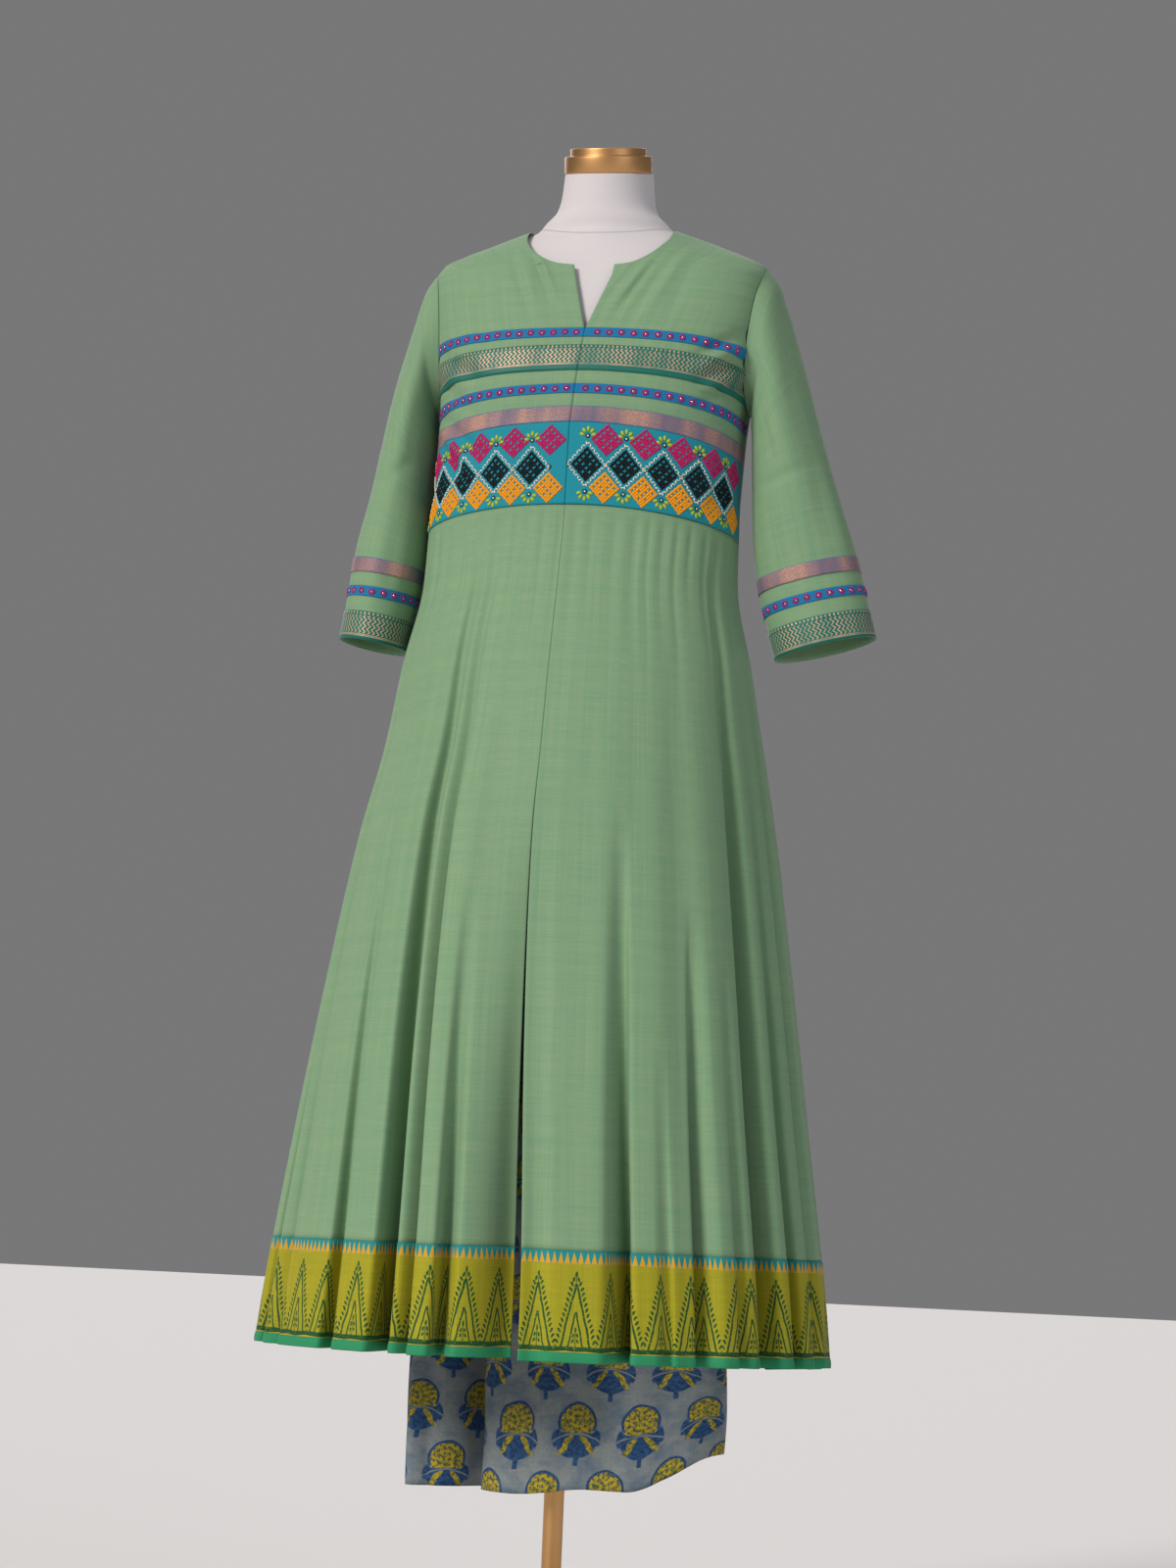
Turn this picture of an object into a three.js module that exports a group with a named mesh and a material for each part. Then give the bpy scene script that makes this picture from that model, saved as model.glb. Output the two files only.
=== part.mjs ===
// A flared, empire-waisted kurti over printed cotton pants, worn by a limbless dress form on a pole stand.
// Millimetres, +Z up, the centre front faces -Y, and the viewer's right is +X.
// The origin is the centre of the stand's underside, on the pole's axis.
import * as THREE from 'three';

// Cloth and sewing
const CLOTH = 1.5;
const TRIM = 1.0;
const SEAM_GAP = 0.3;
const WAIST_GAP = 0.5;
const ARMHOLE_GAP = 1.4;

// Dress form and stand
const BASE_RADIUS = 190;
const BASE_HEIGHT = 12;
const BASE_EDGE = 3;
const HUB_NECK_RADIUS = 18;
const HUB_RADIUS = 32;
const HUB_HEIGHT = 38;
const SOCKET_DEPTH = 28;
const POLE_RADIUS = 11;
const FORM_BOTTOM = 880;
const NECK_TOP = 1668;
const NECK_CENTRE_Y = -8;
const CAP_TILT = THREE.MathUtils.degToRad(14.5);
const CAP_RADIUS = 49.5;
const CAP_STEP_RADIUS = 43;
const CAP_BAND = 19;
const CAP_HEIGHT = 28;
const CAP_EDGE = 3;
const ROUND_SIDES = 32;

// Kurti
const SHOULDER_TIP = 1557;
const UNDERARM = 1391;
const ARMHOLE_DEPTH = 62;
const WAIST_SEAM = 1249;
const WAIST_SEAM_LIFT = 19;
const SLIT_TOP = 1007;
const SLIT_ANGLE = 4.7;
const SLIT_HALF_GAP = 0.8;
const SLIT_TURN_IN = 20;
const SLIT_TURN_WIDTH = 2.6;
const SLIT_REACH = 14;
const HEM_SIDE = 346;
const HEM_FRONT_LIFT = 5;
const HEM_BACK_DROP = 20;
const BORDER = 104;
const PIPING = 9;

// Pants
const CROTCH = 842;
const CROTCH_X = -20;
const CROTCH_EASE = 3.5;
const PANTS_HEM = 197;
const HEM_RISE_FROM = 90;
const HEM_RISE_WIDTH = 100;
const WAISTBAND_THICKNESS = 2;

const COLOURS = {
  cloth: 0x8db07f,
  ribbon: 0x1583b5,
  zari: 0x2f8f78,
  copper: 0x9a7c7c,
  panel: 0x1c93a0,
  border: 0xa9a62f,
  piping: 0x3fa579,
  print: 0x6f86a3,
  cover: 0xe9e4df,
  brass: 0xa6783f,
  steel: 0x8a8a8a,
};

// Outer face of the kurti, level by level: half width, depth before and behind the side seams,
// sideways shift, and how square the section is (2 is an ellipse).
const DRESS = [
  { z: 1600, half: 84, front: 60, back: 52, shift: 0, square: 1.8 },
  { z: 1592, half: 108, front: 66, back: 57, shift: 0, square: 1.75 },
  { z: 1583, half: 133, front: 72, back: 62, shift: 0, square: 1.7 },
  { z: 1568, half: 168, front: 82, back: 72, shift: 0, square: 1.9 },
  { z: 1557, half: 186, front: 88, back: 78, shift: 0, square: 2.2 },
  { z: 1541, half: 190, front: 95, back: 86, shift: 0, square: 2.8 },
  { z: 1500, half: 188, front: 108, back: 96, shift: 0, square: 3.0 },
  { z: 1463, half: 183, front: 117, back: 99, shift: -1, square: 3.0 },
  { z: 1400, half: 174, front: 127, back: 97, shift: -4, square: 2.7 },
  { z: 1357, half: 172, front: 127, back: 94, shift: -6, square: 2.5 },
  { z: 1300, half: 172, front: 123, back: 90, shift: -9, square: 2.4 },
  { z: 1249, half: 175, front: 120, back: 88, shift: -12, square: 2.3 },
  { z: 1194, half: 177, front: 130, back: 99, shift: -13, square: 2.2 },
  { z: 1106, half: 195, front: 156, back: 128, shift: -13, square: 2.1 },
  { z: 1007, half: 212, front: 186, back: 158, shift: -12, square: 2.0 },
  { z: 908, half: 232, front: 206, back: 184, shift: -15, square: 2.0 },
  { z: 754, half: 257, front: 233, back: 214, shift: -17, square: 2.0 },
  { z: 589, half: 282, front: 257, back: 241, shift: -19, square: 2.0 },
  { z: 425, half: 306, front: 273, back: 259, shift: -20, square: 2.0 },
  { z: 320, half: 318, front: 281, back: 267, shift: -21, square: 2.0 },
];

// How far each level of the bodice hangs lower at the side seams than at the centre front.
const SIDE_DROP = [
  { z: 1490, drop: 0 },
  { z: 1465, drop: 3 },
  { z: 1400.5, drop: 9.5 },
  { z: 1357.5, drop: 13 },
  { z: 1268, drop: 19 },
];

// Inner edges of the two front pieces: neckline, notch, then the centre front seam.
const FRONT_EDGE = [
  { z: 1600, left: -83, right: 83 },
  { z: 1583, left: -81, right: 81.6 },
  { z: 1568, left: -73, right: 74.8 },
  { z: 1557, left: -62.6, right: 65.9 },
  { z: 1548, left: -47.9, right: 53.5 },
  { z: 1544, left: -36.7, right: 44 },
  { z: 1541.5, left: -17.4, right: 27.8 },
  { z: 1529, left: -14.5, right: 26.5 },
  { z: 1463, left: 1.85, right: 2.15 },
  { z: 1357.5, left: -8.15, right: -7.85 },
  { z: 1268, left: -11.05, right: -10.75 },
];

// Bands that lie across the two front pieces, by their heights at the centre front.
const BANDS = [
  { name: 'ribbon_upper', top: 1465, bottom: 1454.5, colour: COLOURS.ribbon },
  { name: 'zari_green', top: 1445, bottom: 1415.5, colour: COLOURS.zari },
  { name: 'ribbon_lower', top: 1400.5, bottom: 1390, colour: COLOURS.ribbon },
  { name: 'zari_copper', top: 1375.5, bottom: 1357.8, colour: COLOURS.copper },
  { name: 'yoke_band', top: 1357.5, bottom: 1268, colour: COLOURS.panel },
];
const FRONT_LEVELS = [
  1600, 1592, 1583, 1568, 1557, 1548, 1544, 1541.5, 1529, 1500, 1465,
  1454.5, 1445, 1415.5, 1400.5, 1390, 1375.5, 1357.8, 1357.5, 1330, 1300, 1268,
];
const BACK_LEVELS = [
  1600, 1592, 1583, 1568, 1557, 1541, 1512, 1480, 1448, 1418, 1400, 1391, 1345, 1300, 1249,
];
const BACK_NECK_DROP = 12;
const FRONT_COLUMNS = 8;
const BACK_COLUMNS = 14;

// Sleeves: the outer and the underarm edge of each section, and half its depth.
const SLEEVES = {
  right: [
    { outerX: 200, outerZ: 1538, innerX: 176, innerZ: 1387, depth: 63 },
    { outerX: 213, outerZ: 1503, innerX: 174.5, innerZ: 1374, depth: 64 },
    { outerX: 227, outerZ: 1458, innerX: 175.5, innerZ: 1360, depth: 64 },
    { outerX: 241, outerZ: 1410, innerX: 176, innerZ: 1342, depth: 62 },
    { outerX: 256, outerZ: 1358, innerX: 177, innerZ: 1314, depth: 59 },
    { outerX: 275, outerZ: 1297, innerX: 179, innerZ: 1262, depth: 53 },
    { outerX: 296.5, outerZ: 1232, innerX: 186, innerZ: 1203, depth: 47 },
    { outerX: 320, outerZ: 1143, innerX: 210, innerZ: 1115, depth: 44 },
  ],
  left: [
    { outerX: 201, outerZ: 1536, innerX: 183, innerZ: 1387, depth: 63 },
    { outerX: 213, outerZ: 1500, innerX: 183.5, innerZ: 1374, depth: 64 },
    { outerX: 227, outerZ: 1450, innerX: 184, innerZ: 1360, depth: 64 },
    { outerX: 240, outerZ: 1398, innerX: 185, innerZ: 1340, depth: 63 },
    { outerX: 250, outerZ: 1348, innerX: 187, innerZ: 1312, depth: 61 },
    { outerX: 260, outerZ: 1290, innerX: 189, innerZ: 1258, depth: 59 },
    { outerX: 273, outerZ: 1223, innerX: 193, innerZ: 1210, depth: 58 },
    { outerX: 286, outerZ: 1131, innerX: 209, innerZ: 1119, depth: 57 },
  ],
};
const CUFF = 92;
const CUFF_BANDS = [
  { name: 'cuff_copper', from: 92, to: 73, colour: COLOURS.copper },
  { name: 'cuff_ribbon', from: 57, to: 46, colour: COLOURS.ribbon },
  { name: 'cuff_zari', from: 30, to: 0, colour: COLOURS.zari },
];

// Folds of the skirt at the hem: degrees round from the centre front towards +X, depth, half width,
// how far the floor of the fold slides under the cloth beside it (+ towards +X), and where it starts.
const FOLDS = [
  { at: -100, depth: 30, half: 14, slide: 6, top: 1130 },
  { at: -78, depth: 30, half: 14, slide: -5, top: 1060 },
  { at: -56, depth: 42, half: 13, slide: 15, top: 1150 },
  { at: -24.6, depth: 36, half: 11, slide: -10, top: 1150 },
  { at: -17.6, depth: 30, half: 9, slide: 7, top: 1120 },
  { at: -8.5, depth: 22, half: 9, slide: -6, top: 760 },
  { at: 25.3, depth: 36, half: 12, slide: 14, top: 1010 },
  { at: 42.9, depth: 34, half: 12, slide: -12, top: 960 },
  { at: 61, depth: 36, half: 18, slide: 0, top: 1180 },
  { at: 80, depth: 28, half: 12, slide: -10, top: 1130 },
  { at: 101, depth: 34, half: 14, slide: 8, top: 1140 },
  { at: 121, depth: 38, half: 13, slide: -10, top: 1160 },
  { at: 141, depth: 32, half: 14, slide: 9, top: 1080 },
  { at: 160, depth: 40, half: 13, slide: 0, top: 1170 },
  { at: 179, depth: 30, half: 14, slide: -9, top: 1060 },
  { at: 198, depth: 40, half: 13, slide: 10, top: 1170 },
  { at: 218, depth: 34, half: 14, slide: -8, top: 1090 },
  { at: 238, depth: 38, half: 13, slide: 8, top: 1150 },
];
const FOLD_STATIONS = [-1.6, -0.8, 0, 0.8, 1.6];
const FOLD_GROWTH = 0.8;
const HEM_RADIUS = 300;
const WIDEST_STEP = 7;
const LEFT_SWING = 10;
const SKIRT_LEVELS = [0, 0.07, 0.16, 0.27, 0.39, 0.52, 0.66, 0.82, 1];

// Dress form: sections in the same terms as the kurti's.
const FORM = [
  { z: 1668, half: 50, front: 58, back: 42, shift: 0, square: 2.0 },
  { z: 1650, half: 51.5, front: 57, back: 45, shift: 0, square: 2.0 },
  { z: 1635, half: 53.5, front: 56, back: 48, shift: 0, square: 2.0 },
  { z: 1621, half: 58.5, front: 55, back: 48, shift: 0, square: 2.0 },
  { z: 1610, half: 69, front: 55, back: 46, shift: 0, square: 2.0 },
  { z: 1597.8, half: 82, front: 54, back: 43, shift: 0, square: 1.8 },
  { z: 1589.8, half: 108, front: 58, back: 47, shift: 0, square: 1.5 },
  { z: 1580.8, half: 133, front: 65, back: 52, shift: 0, square: 1.55 },
  { z: 1565.8, half: 168, front: 73, back: 60, shift: 0, square: 1.7 },
  { z: 1553.5, half: 181, front: 80, back: 67, shift: 0, square: 2.1 },
  { z: 1535, half: 176, front: 90, back: 76, shift: 0, square: 2.6 },
  { z: 1500, half: 168, front: 101, back: 84, shift: 0, square: 2.6 },
  { z: 1463, half: 160, front: 110, back: 87, shift: 0, square: 2.5 },
  { z: 1400, half: 151, front: 119, back: 86, shift: 0, square: 2.3 },
  { z: 1340, half: 142, front: 114, back: 82, shift: 0, square: 2.2 },
  { z: 1270, half: 124, front: 97, back: 78, shift: 0, square: 2.1 },
  { z: 1210, half: 116, front: 88, back: 78, shift: 0, square: 2.1 },
  { z: 1190, half: 118, front: 88, back: 80, shift: 0, square: 2.1 },
  { z: 1155, half: 124, front: 91, back: 86, shift: 0, square: 2.1 },
  { z: 1080, half: 147, front: 100, back: 106, shift: 0, square: 2.1 },
  { z: 1000, half: 163, front: 108, back: 118, shift: 0, square: 2.1 },
  { z: 930, half: 158, front: 105, back: 112, shift: 0, square: 2.1 },
  { z: FORM_BOTTOM, half: 148, front: 97, back: 100, shift: 0, square: 2.1 },
];
const FORM_COLUMNS = 24;

// Pants: the seat below the waistband, how far each leg has settled from the crotch to its hanging shape,
// and where each leg's section lies then, its half sizes and its turn.
const WAISTBAND = { top: 1190, bottom: 1155 };
const SEAT = [
  { z: 1154.7, half: 126, front: 93, back: 88, shift: 0, square: 2.1 },
  { z: 1080, half: 151, front: 105, back: 111, shift: 0, square: 2.1 },
  { z: 1000, half: 168, front: 114, back: 124, shift: 0, square: 2.0 },
  { z: 920, half: 166, front: 114, back: 122, shift: 0, square: 2.0 },
  { z: CROTCH, half: 162, front: 112, back: 112, shift: 0, square: 2.0 },
];
const LEG_LEVELS = [
  { z: CROTCH - SEAM_GAP, right: 0, left: 0 },
  { z: 790, right: 0.06, left: 0.4 },
  { z: 710, right: 0.25, left: 0.75 },
  { z: 610, right: 0.6, left: 0.92 },
  { z: 480, right: 0.88, left: 1 },
  { z: 340, right: 1, left: 1 },
  { z: PANTS_HEM, right: 1, left: 1 },
];
const LEGS = [
  { side: 'right', topX: 70, x: 55, y: -16, long: 133, short: 54, turn: 0, hemRise: 42 },
  { side: 'left', topX: -90, x: -96, y: 68, long: 104, short: 43, turn: 50, hemRise: 0 },
];
const LEG_COLUMNS = 20;

const UP = new THREE.Vector3(0, 0, 1);
const rad = THREE.MathUtils.degToRad;
const smooth = (t) => THREE.MathUtils.smoothstep(t, 0, 1);

// Straight interpolation of one column of a table whose rows run from the highest z to the lowest.
function along(rows, column, z) {
  let low = rows.findIndex((row) => row.z <= z);
  if (low === 0) low = 1;
  if (low < 0) low = rows.length - 1;
  const above = rows[low - 1];
  const below = rows[low];
  const part = THREE.MathUtils.clamp((above.z - z) / (above.z - below.z), 0, 1);
  return THREE.MathUtils.lerp(above[column], below[column], part);
}

// A point on a table's section: turn 0 is +X, 90 the front, 180 -X and 270 the back.
function sectionPoint(rows, turn, z) {
  const c = Math.cos(rad(turn));
  const s = Math.sin(rad(turn));
  const square = along(rows, 'square', z);
  const reach = (Math.abs(c) ** square + Math.abs(s) ** square) ** (-1 / square);
  const depth = along(rows, s >= 0 ? 'front' : 'back', z);
  const x = along(rows, 'shift', z) + along(rows, 'half', z) * reach * c;
  return new THREE.Vector3(x, -depth * reach * s, z);
}

// The value between low and high at which a rising function passes zero.
function crossing(rising, low, high) {
  for (let step = 0; step < 40; step += 1) {
    const middle = (low + high) / 2;
    if (rising(middle) < 0) low = middle;
    else high = middle;
  }
  return (low + high) / 2;
}

// A grid of points whose rows run down and whose columns run clockwise seen from above,
// with the outward normal at each point.
function surface(points, closed) {
  const rows = points.length;
  const columns = points[0].length;
  const column = (j) => (closed ? (j + columns) % columns : THREE.MathUtils.clamp(j, 0, columns - 1));
  const row = (i) => THREE.MathUtils.clamp(i, 0, rows - 1);
  const normals = points.map((line, i) =>
    line.map((_, j) => {
      const across = points[i][column(j + 1)].clone().sub(points[i][column(j - 1)]);
      const down = points[row(i + 1)][j].clone().sub(points[row(i - 1)][j]);
      return across.cross(down).normalize();
    }),
  );
  return { points, normals, closed };
}

// The same surface with the thickness of its first and last rows kept level, so that seams meet flat.
function levelEnds(sheet) {
  [sheet.normals[0], sheet.normals[sheet.normals.length - 1]].forEach((line) => {
    line.forEach((normal) => normal.setZ(0).normalize());
  });
  return sheet;
}

function rowsOf(whole, from, to) {
  return {
    points: whole.points.slice(from, to + 1),
    normals: whole.normals.slice(from, to + 1),
    closed: whole.closed,
  };
}

function solid(name, corners, faces, colour) {
  const numbers = corners.flatMap((point) => point.toArray());
  const geometry = new THREE.BufferGeometry();
  geometry.setAttribute('position', new THREE.Float32BufferAttribute(numbers, 3));
  geometry.setIndex(faces.flat());
  geometry.computeVertexNormals();
  const mesh = new THREE.Mesh(geometry, new THREE.MeshStandardMaterial({ color: colour, roughness: 0.85 }));
  mesh.name = name;
  return mesh;
}

// A wall between two offsets of a surface, closed round its edges.
function wall(name, sheet, inner, outer, colour) {
  const rows = sheet.points.length;
  const columns = sheet.points[0].length;
  const moved = (line, i, offset) =>
    line.map((point, j) => point.clone().addScaledVector(sheet.normals[i][j], offset));
  const face = (offset) => sheet.points.flatMap((line, i) => moved(line, i, offset));
  const corners = [...face(outer), ...face(inner)];
  const out = (i, j) => i * columns + (j % columns);
  const inside = (i, j) => rows * columns + out(i, j);
  const faces = [];
  const quad = (a, b, c, d) => faces.push([a, b, c], [a, c, d]);
  const spans = sheet.closed ? columns : columns - 1;
  for (let i = 0; i < rows - 1; i += 1) {
    for (let j = 0; j < spans; j += 1) {
      quad(out(i, j), out(i, j + 1), out(i + 1, j + 1), out(i + 1, j));
      quad(inside(i, j), inside(i + 1, j), inside(i + 1, j + 1), inside(i, j + 1));
    }
    if (!sheet.closed) {
      quad(out(i, 0), out(i + 1, 0), inside(i + 1, 0), inside(i, 0));
      const last = columns - 1;
      quad(out(i, last), inside(i, last), inside(i + 1, last), out(i + 1, last));
    }
  }
  for (let j = 0; j < spans; j += 1) {
    quad(out(0, j), inside(0, j), inside(0, j + 1), out(0, j + 1));
    quad(out(rows - 1, j), out(rows - 1, j + 1), inside(rows - 1, j + 1), inside(rows - 1, j));
  }
  return solid(name, corners, faces, colour);
}

// A solid through closed sections, capped at both ends.
function loft(name, points, colour) {
  const rows = points.length;
  const columns = points[0].length;
  const middle = (line) => line.reduce((sum, p) => sum.add(p), new THREE.Vector3()).divideScalar(columns);
  const corners = [...points.flat(), middle(points[0]), middle(points[rows - 1])];
  const at = (i, j) => i * columns + (j % columns);
  const faces = [];
  for (let j = 0; j < columns; j += 1) {
    for (let i = 0; i < rows - 1; i += 1) {
      faces.push([at(i, j), at(i, j + 1), at(i + 1, j + 1)], [at(i, j), at(i + 1, j + 1), at(i + 1, j)]);
    }
    faces.push([rows * columns, at(0, j + 1), at(0, j)]);
    faces.push([rows * columns + 1, at(rows - 1, j), at(rows - 1, j + 1)]);
  }
  return solid(name, corners, faces, colour);
}

function metalMesh(name, geometry, colour) {
  const metal = new THREE.MeshStandardMaterial({ color: colour, roughness: 0.35, metalness: 1 });
  const mesh = new THREE.Mesh(geometry.rotateX(Math.PI / 2), metal);
  mesh.name = name;
  return mesh;
}

function lathe(name, profile, colour) {
  const outline = profile.map(([radius, height]) => new THREE.Vector2(radius, height));
  return metalMesh(name, new THREE.LatheGeometry(outline, ROUND_SIDES), colour);
}

// Bodice
function bodicePoint(turn, level) {
  const side = Math.cos(rad(turn)) ** 2;
  const drop = Math.sin(rad(turn)) >= 0 ? along(SIDE_DROP, 'drop', level) * side : 0;
  return sectionPoint(DRESS, turn, level - drop);
}

function armholeDepth(z) {
  const middle = (SHOULDER_TIP + UNDERARM) / 2;
  const half = (SHOULDER_TIP - UNDERARM) / 2;
  return ARMHOLE_DEPTH * Math.sqrt(Math.max(0, 1 - ((z - middle) / half) ** 2));
}

// The turn from the side seam at which a level meets the armhole, in front or behind.
function armholeTurn(level, facing) {
  const proud = (turn) => {
    const p = facing > 0 ? bodicePoint(turn, level) : sectionPoint(DRESS, -turn, level);
    return Math.abs(p.y) - armholeDepth(p.z);
  };
  return proud(0) >= -0.01 ? 0 : crossing(proud, 0, 70);
}

// At the side and shoulder seams the thickness lies straight across, so that front and back meet square.
function squareSeams(sheet) {
  sheet.points.forEach((line, i) => {
    [0, line.length - 1].forEach((j) => {
      if (Math.abs(line[j].y) < SEAM_GAP) sheet.normals[i][j].setY(0).normalize();
    });
  });
  return sheet;
}

function frontSurface(side) {
  const points = FRONT_LEVELS.map((level) => {
    const edge = along(FRONT_EDGE, side, level);
    const mirror = side === 'right' ? 1 : -1;
    const turnOf = (turn) => (mirror > 0 ? turn : 180 - turn);
    const inner = crossing((turn) => mirror * (edge - bodicePoint(turnOf(turn), level).x), 0, 125);
    const outer = armholeTurn(level, 1);
    const line = [];
    for (let j = 0; j <= FRONT_COLUMNS; j += 1) {
      const turn = THREE.MathUtils.lerp(outer, inner, j / FRONT_COLUMNS);
      const point = bodicePoint(turnOf(turn), level);
      point.y -= SEAM_GAP / 2;
      line.push(point);
    }
    return mirror > 0 ? line : line.reverse();
  });
  return squareSeams(surface(points, false));
}

function backSurface() {
  const points = BACK_LEVELS.map((level, i) => {
    const outer = armholeTurn(level, -1);
    const dip = BACK_NECK_DROP * (1 - i / 4);
    const line = [];
    for (let j = 0; j <= BACK_COLUMNS; j += 1) {
      const turn = THREE.MathUtils.lerp(180 + outer, 360 - outer, j / BACK_COLUMNS);
      const low = dip > 0 ? dip * Math.abs(Math.sin(rad(turn))) ** 0.7 : 0;
      const point = sectionPoint(DRESS, turn, level - low);
      point.y += SEAM_GAP / 2;
      line.push(point);
    }
    return line;
  });
  return squareSeams(surface(points, false));
}

// Sleeve: its first section is the armhole's own edge, and the rest follow the table.
function sleeveSurface(side, front, back) {
  const mirror = side === 'right' ? 1 : -1;
  const frontColumn = side === 'right' ? 0 : FRONT_COLUMNS;
  const backColumn = side === 'right' ? BACK_COLUMNS : 0;
  const inArmhole = (p) => p.z <= SHOULDER_TIP + 0.01 && p.z >= UNDERARM - 0.01;
  const before = front.points.map((line) => line[frontColumn]).filter(inArmhole);
  const behind = back.points.map((line) => line[backColumn]).filter(inArmhole);
  const loop = [...before, ...behind.slice(1, -1).reverse()];
  const middle = (SHOULDER_TIP + UNDERARM) / 2;
  const half = (SHOULDER_TIP - UNDERARM) / 2;
  const turns = loop.map((p, k) => {
    const turn = Math.acos(THREE.MathUtils.clamp((p.z - middle) / half, -1, 1));
    return k < before.length ? turn : 2 * Math.PI - turn;
  });
  const sections = [loop.map((p) => p.clone().add(new THREE.Vector3(mirror * ARMHOLE_GAP, 0, 0)))];
  const table = SLEEVES[side];
  const ring = (row) =>
    turns.map((turn) => {
      const c = Math.cos(turn);
      const x = (row.outerX + row.innerX) / 2 + (c * (row.outerX - row.innerX)) / 2;
      const z = (row.outerZ + row.innerZ) / 2 + (c * (row.outerZ - row.innerZ)) / 2;
      return new THREE.Vector3(mirror * x, -row.depth * Math.sin(turn), z);
    });
  table.slice(0, -1).forEach((row) => sections.push(ring(row)));
  const cuffTop = table[table.length - 2];
  const hem = table[table.length - 1];
  const trims = CUFF_BANDS.flatMap((band) => [band.from, band.to]).slice(1);
  trims.forEach((height) => {
    const part = 1 - height / CUFF;
    const row = {};
    Object.keys(hem).forEach((key) => {
      row[key] = THREE.MathUtils.lerp(cuffTop[key], hem[key], part);
    });
    sections.push(ring(row));
  });
  const points = mirror > 0 ? sections : sections.map((line) => [line[0], ...line.slice(1).reverse()]);
  return surface(points, true);
}

// Skirt
function seamHeight(at) {
  const facing = Math.max(0, Math.cos(rad(at)));
  return WAIST_SEAM + WAIST_SEAM_LIFT * facing ** 2;
}

function hemHeight(at) {
  const facing = Math.cos(rad(at));
  return HEM_SIDE + (facing > 0 ? HEM_FRONT_LIFT * facing : HEM_BACK_DROP * facing);
}

function skirtStations(from, to) {
  const angles = [from, to];
  FOLDS.forEach((fold) => {
    FOLD_STATIONS.forEach((station) => {
      [0, -360].forEach((round) => {
        const at = fold.at + round + (station * fold.half * 180) / (Math.PI * HEM_RADIUS);
        if (at > from + 1 && at < to - 1) angles.push(at);
      });
    });
  });
  angles.sort((a, b) => a - b);
  const filled = [angles[0]];
  angles.slice(1).forEach((at) => {
    const start = filled[filled.length - 1];
    const steps = Math.ceil((at - start) / WIDEST_STEP);
    for (let step = 1; step <= steps; step += 1) filled.push(start + ((at - start) * step) / steps);
  });
  return filled.reverse();
}

// Sum of the folds at one place: how far in the cloth goes, and how far it slides sideways.
function foldAt(at, z) {
  const sum = { inwards: 0, slide: 0 };
  FOLDS.forEach((fold) => {
    const away = THREE.MathUtils.euclideanModulo(at - fold.at + 180, 360) - 180;
    const q = (rad(away) * HEM_RADIUS) / fold.half;
    const grown = smooth((fold.top - z) / (fold.top - HEM_SIDE)) ** FOLD_GROWTH;
    const share = Math.exp(-q * q) * grown;
    sum.inwards += fold.depth * share;
    sum.slide += fold.slide * share;
  });
  return sum;
}

// How far open the slit is at a height.
function slitOpening(z) {
  return smooth((SLIT_TOP - z) / (SLIT_TOP - HEM_SIDE));
}

// Where a place on the hem has come from higher up: the slit runs to the centre front,
// and the folds on the left run further round.
function swungAngle(at, z) {
  const opened = slitOpening(z);
  const nearSlit = Math.exp(-(((at - SLIT_ANGLE) / SLIT_REACH) ** 2));
  const nearLeft = at < 0 && at > -90 ? Math.sin(rad(at * 2)) : 0;
  return at - SLIT_ANGLE * (1 - opened) * nearSlit + LEFT_SWING * nearLeft * (1 - opened);
}

function skirtPoint(at, z, edge) {
  const opened = slitOpening(z);
  const swung = swungAngle(at, z);
  const centre = sectionPoint(DRESS, 90 - swung, z);
  const beside = sectionPoint(DRESS, 90 - swung - 0.5, z);
  const tangent = beside.sub(centre).setZ(0).normalize();
  const outward = tangent.clone().cross(UP);
  const fold = foldAt(at, z);
  let inwards = fold.inwards;
  if (edge === 'left') {
    const nearEdge = Math.exp(-(((at - SLIT_ANGLE) / SLIT_TURN_WIDTH) ** 2));
    inwards += SLIT_TURN_IN * opened * nearEdge;
  }
  return centre.addScaledVector(outward, -inwards).addScaledVector(tangent, fold.slide);
}

// The outward direction at a seam, the same for the pieces on both sides of it.
function seamNormal(at, z) {
  const across = skirtPoint(at - 1, z).sub(skirtPoint(at + 1, z));
  const down = skirtPoint(at, z - 1).sub(skirtPoint(at, z + 1));
  return across.cross(down).normalize();
}

function skirtSurface(from, to, edge) {
  const stations = skirtStations(from, to);
  const drops = [
    ...SKIRT_LEVELS.map((part) => ({ part, above: BORDER + PIPING + SEAM_GAP })),
    { part: 1, above: BORDER + PIPING },
    { part: 1, above: (BORDER + PIPING) / 2 },
    { part: 1, above: PIPING },
    { part: 1, above: PIPING - SEAM_GAP },
    { part: 1, above: 0 },
  ];
  const atSlit = (at) => Math.abs(at - SLIT_ANGLE) < 0.01;
  const atSide = (at) => Math.abs(Math.cos(rad(at))) < 0.001;
  const points = drops.map(({ part, above }) =>
    stations.map((at) => {
      const top = seamHeight(swungAngle(at, SLIT_TOP)) - WAIST_GAP;
      const z = THREE.MathUtils.lerp(top, hemHeight(at) + above, part);
      const point = skirtPoint(at, z, edge);
      if (atSlit(at)) {
        const half = SEAM_GAP / 2 + rad(SLIT_HALF_GAP) * HEM_RADIUS * slitOpening(z);
        point.x += edge === 'left' ? -half : half;
      }
      if (atSide(at)) point.y += edge === 'back' ? SEAM_GAP / 2 : -SEAM_GAP / 2;
      return point;
    }),
  );
  const sheet = surface(points, false);
  sheet.normals.forEach((line, i) => {
    line.forEach((normal, j) => {
      const { z } = points[i][j];
      const sewn = atSide(stations[j]) || (atSlit(stations[j]) && z > SLIT_TOP);
      if (sewn) normal.copy(seamNormal(stations[j], z));
    });
  });
  return sheet;
}

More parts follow.
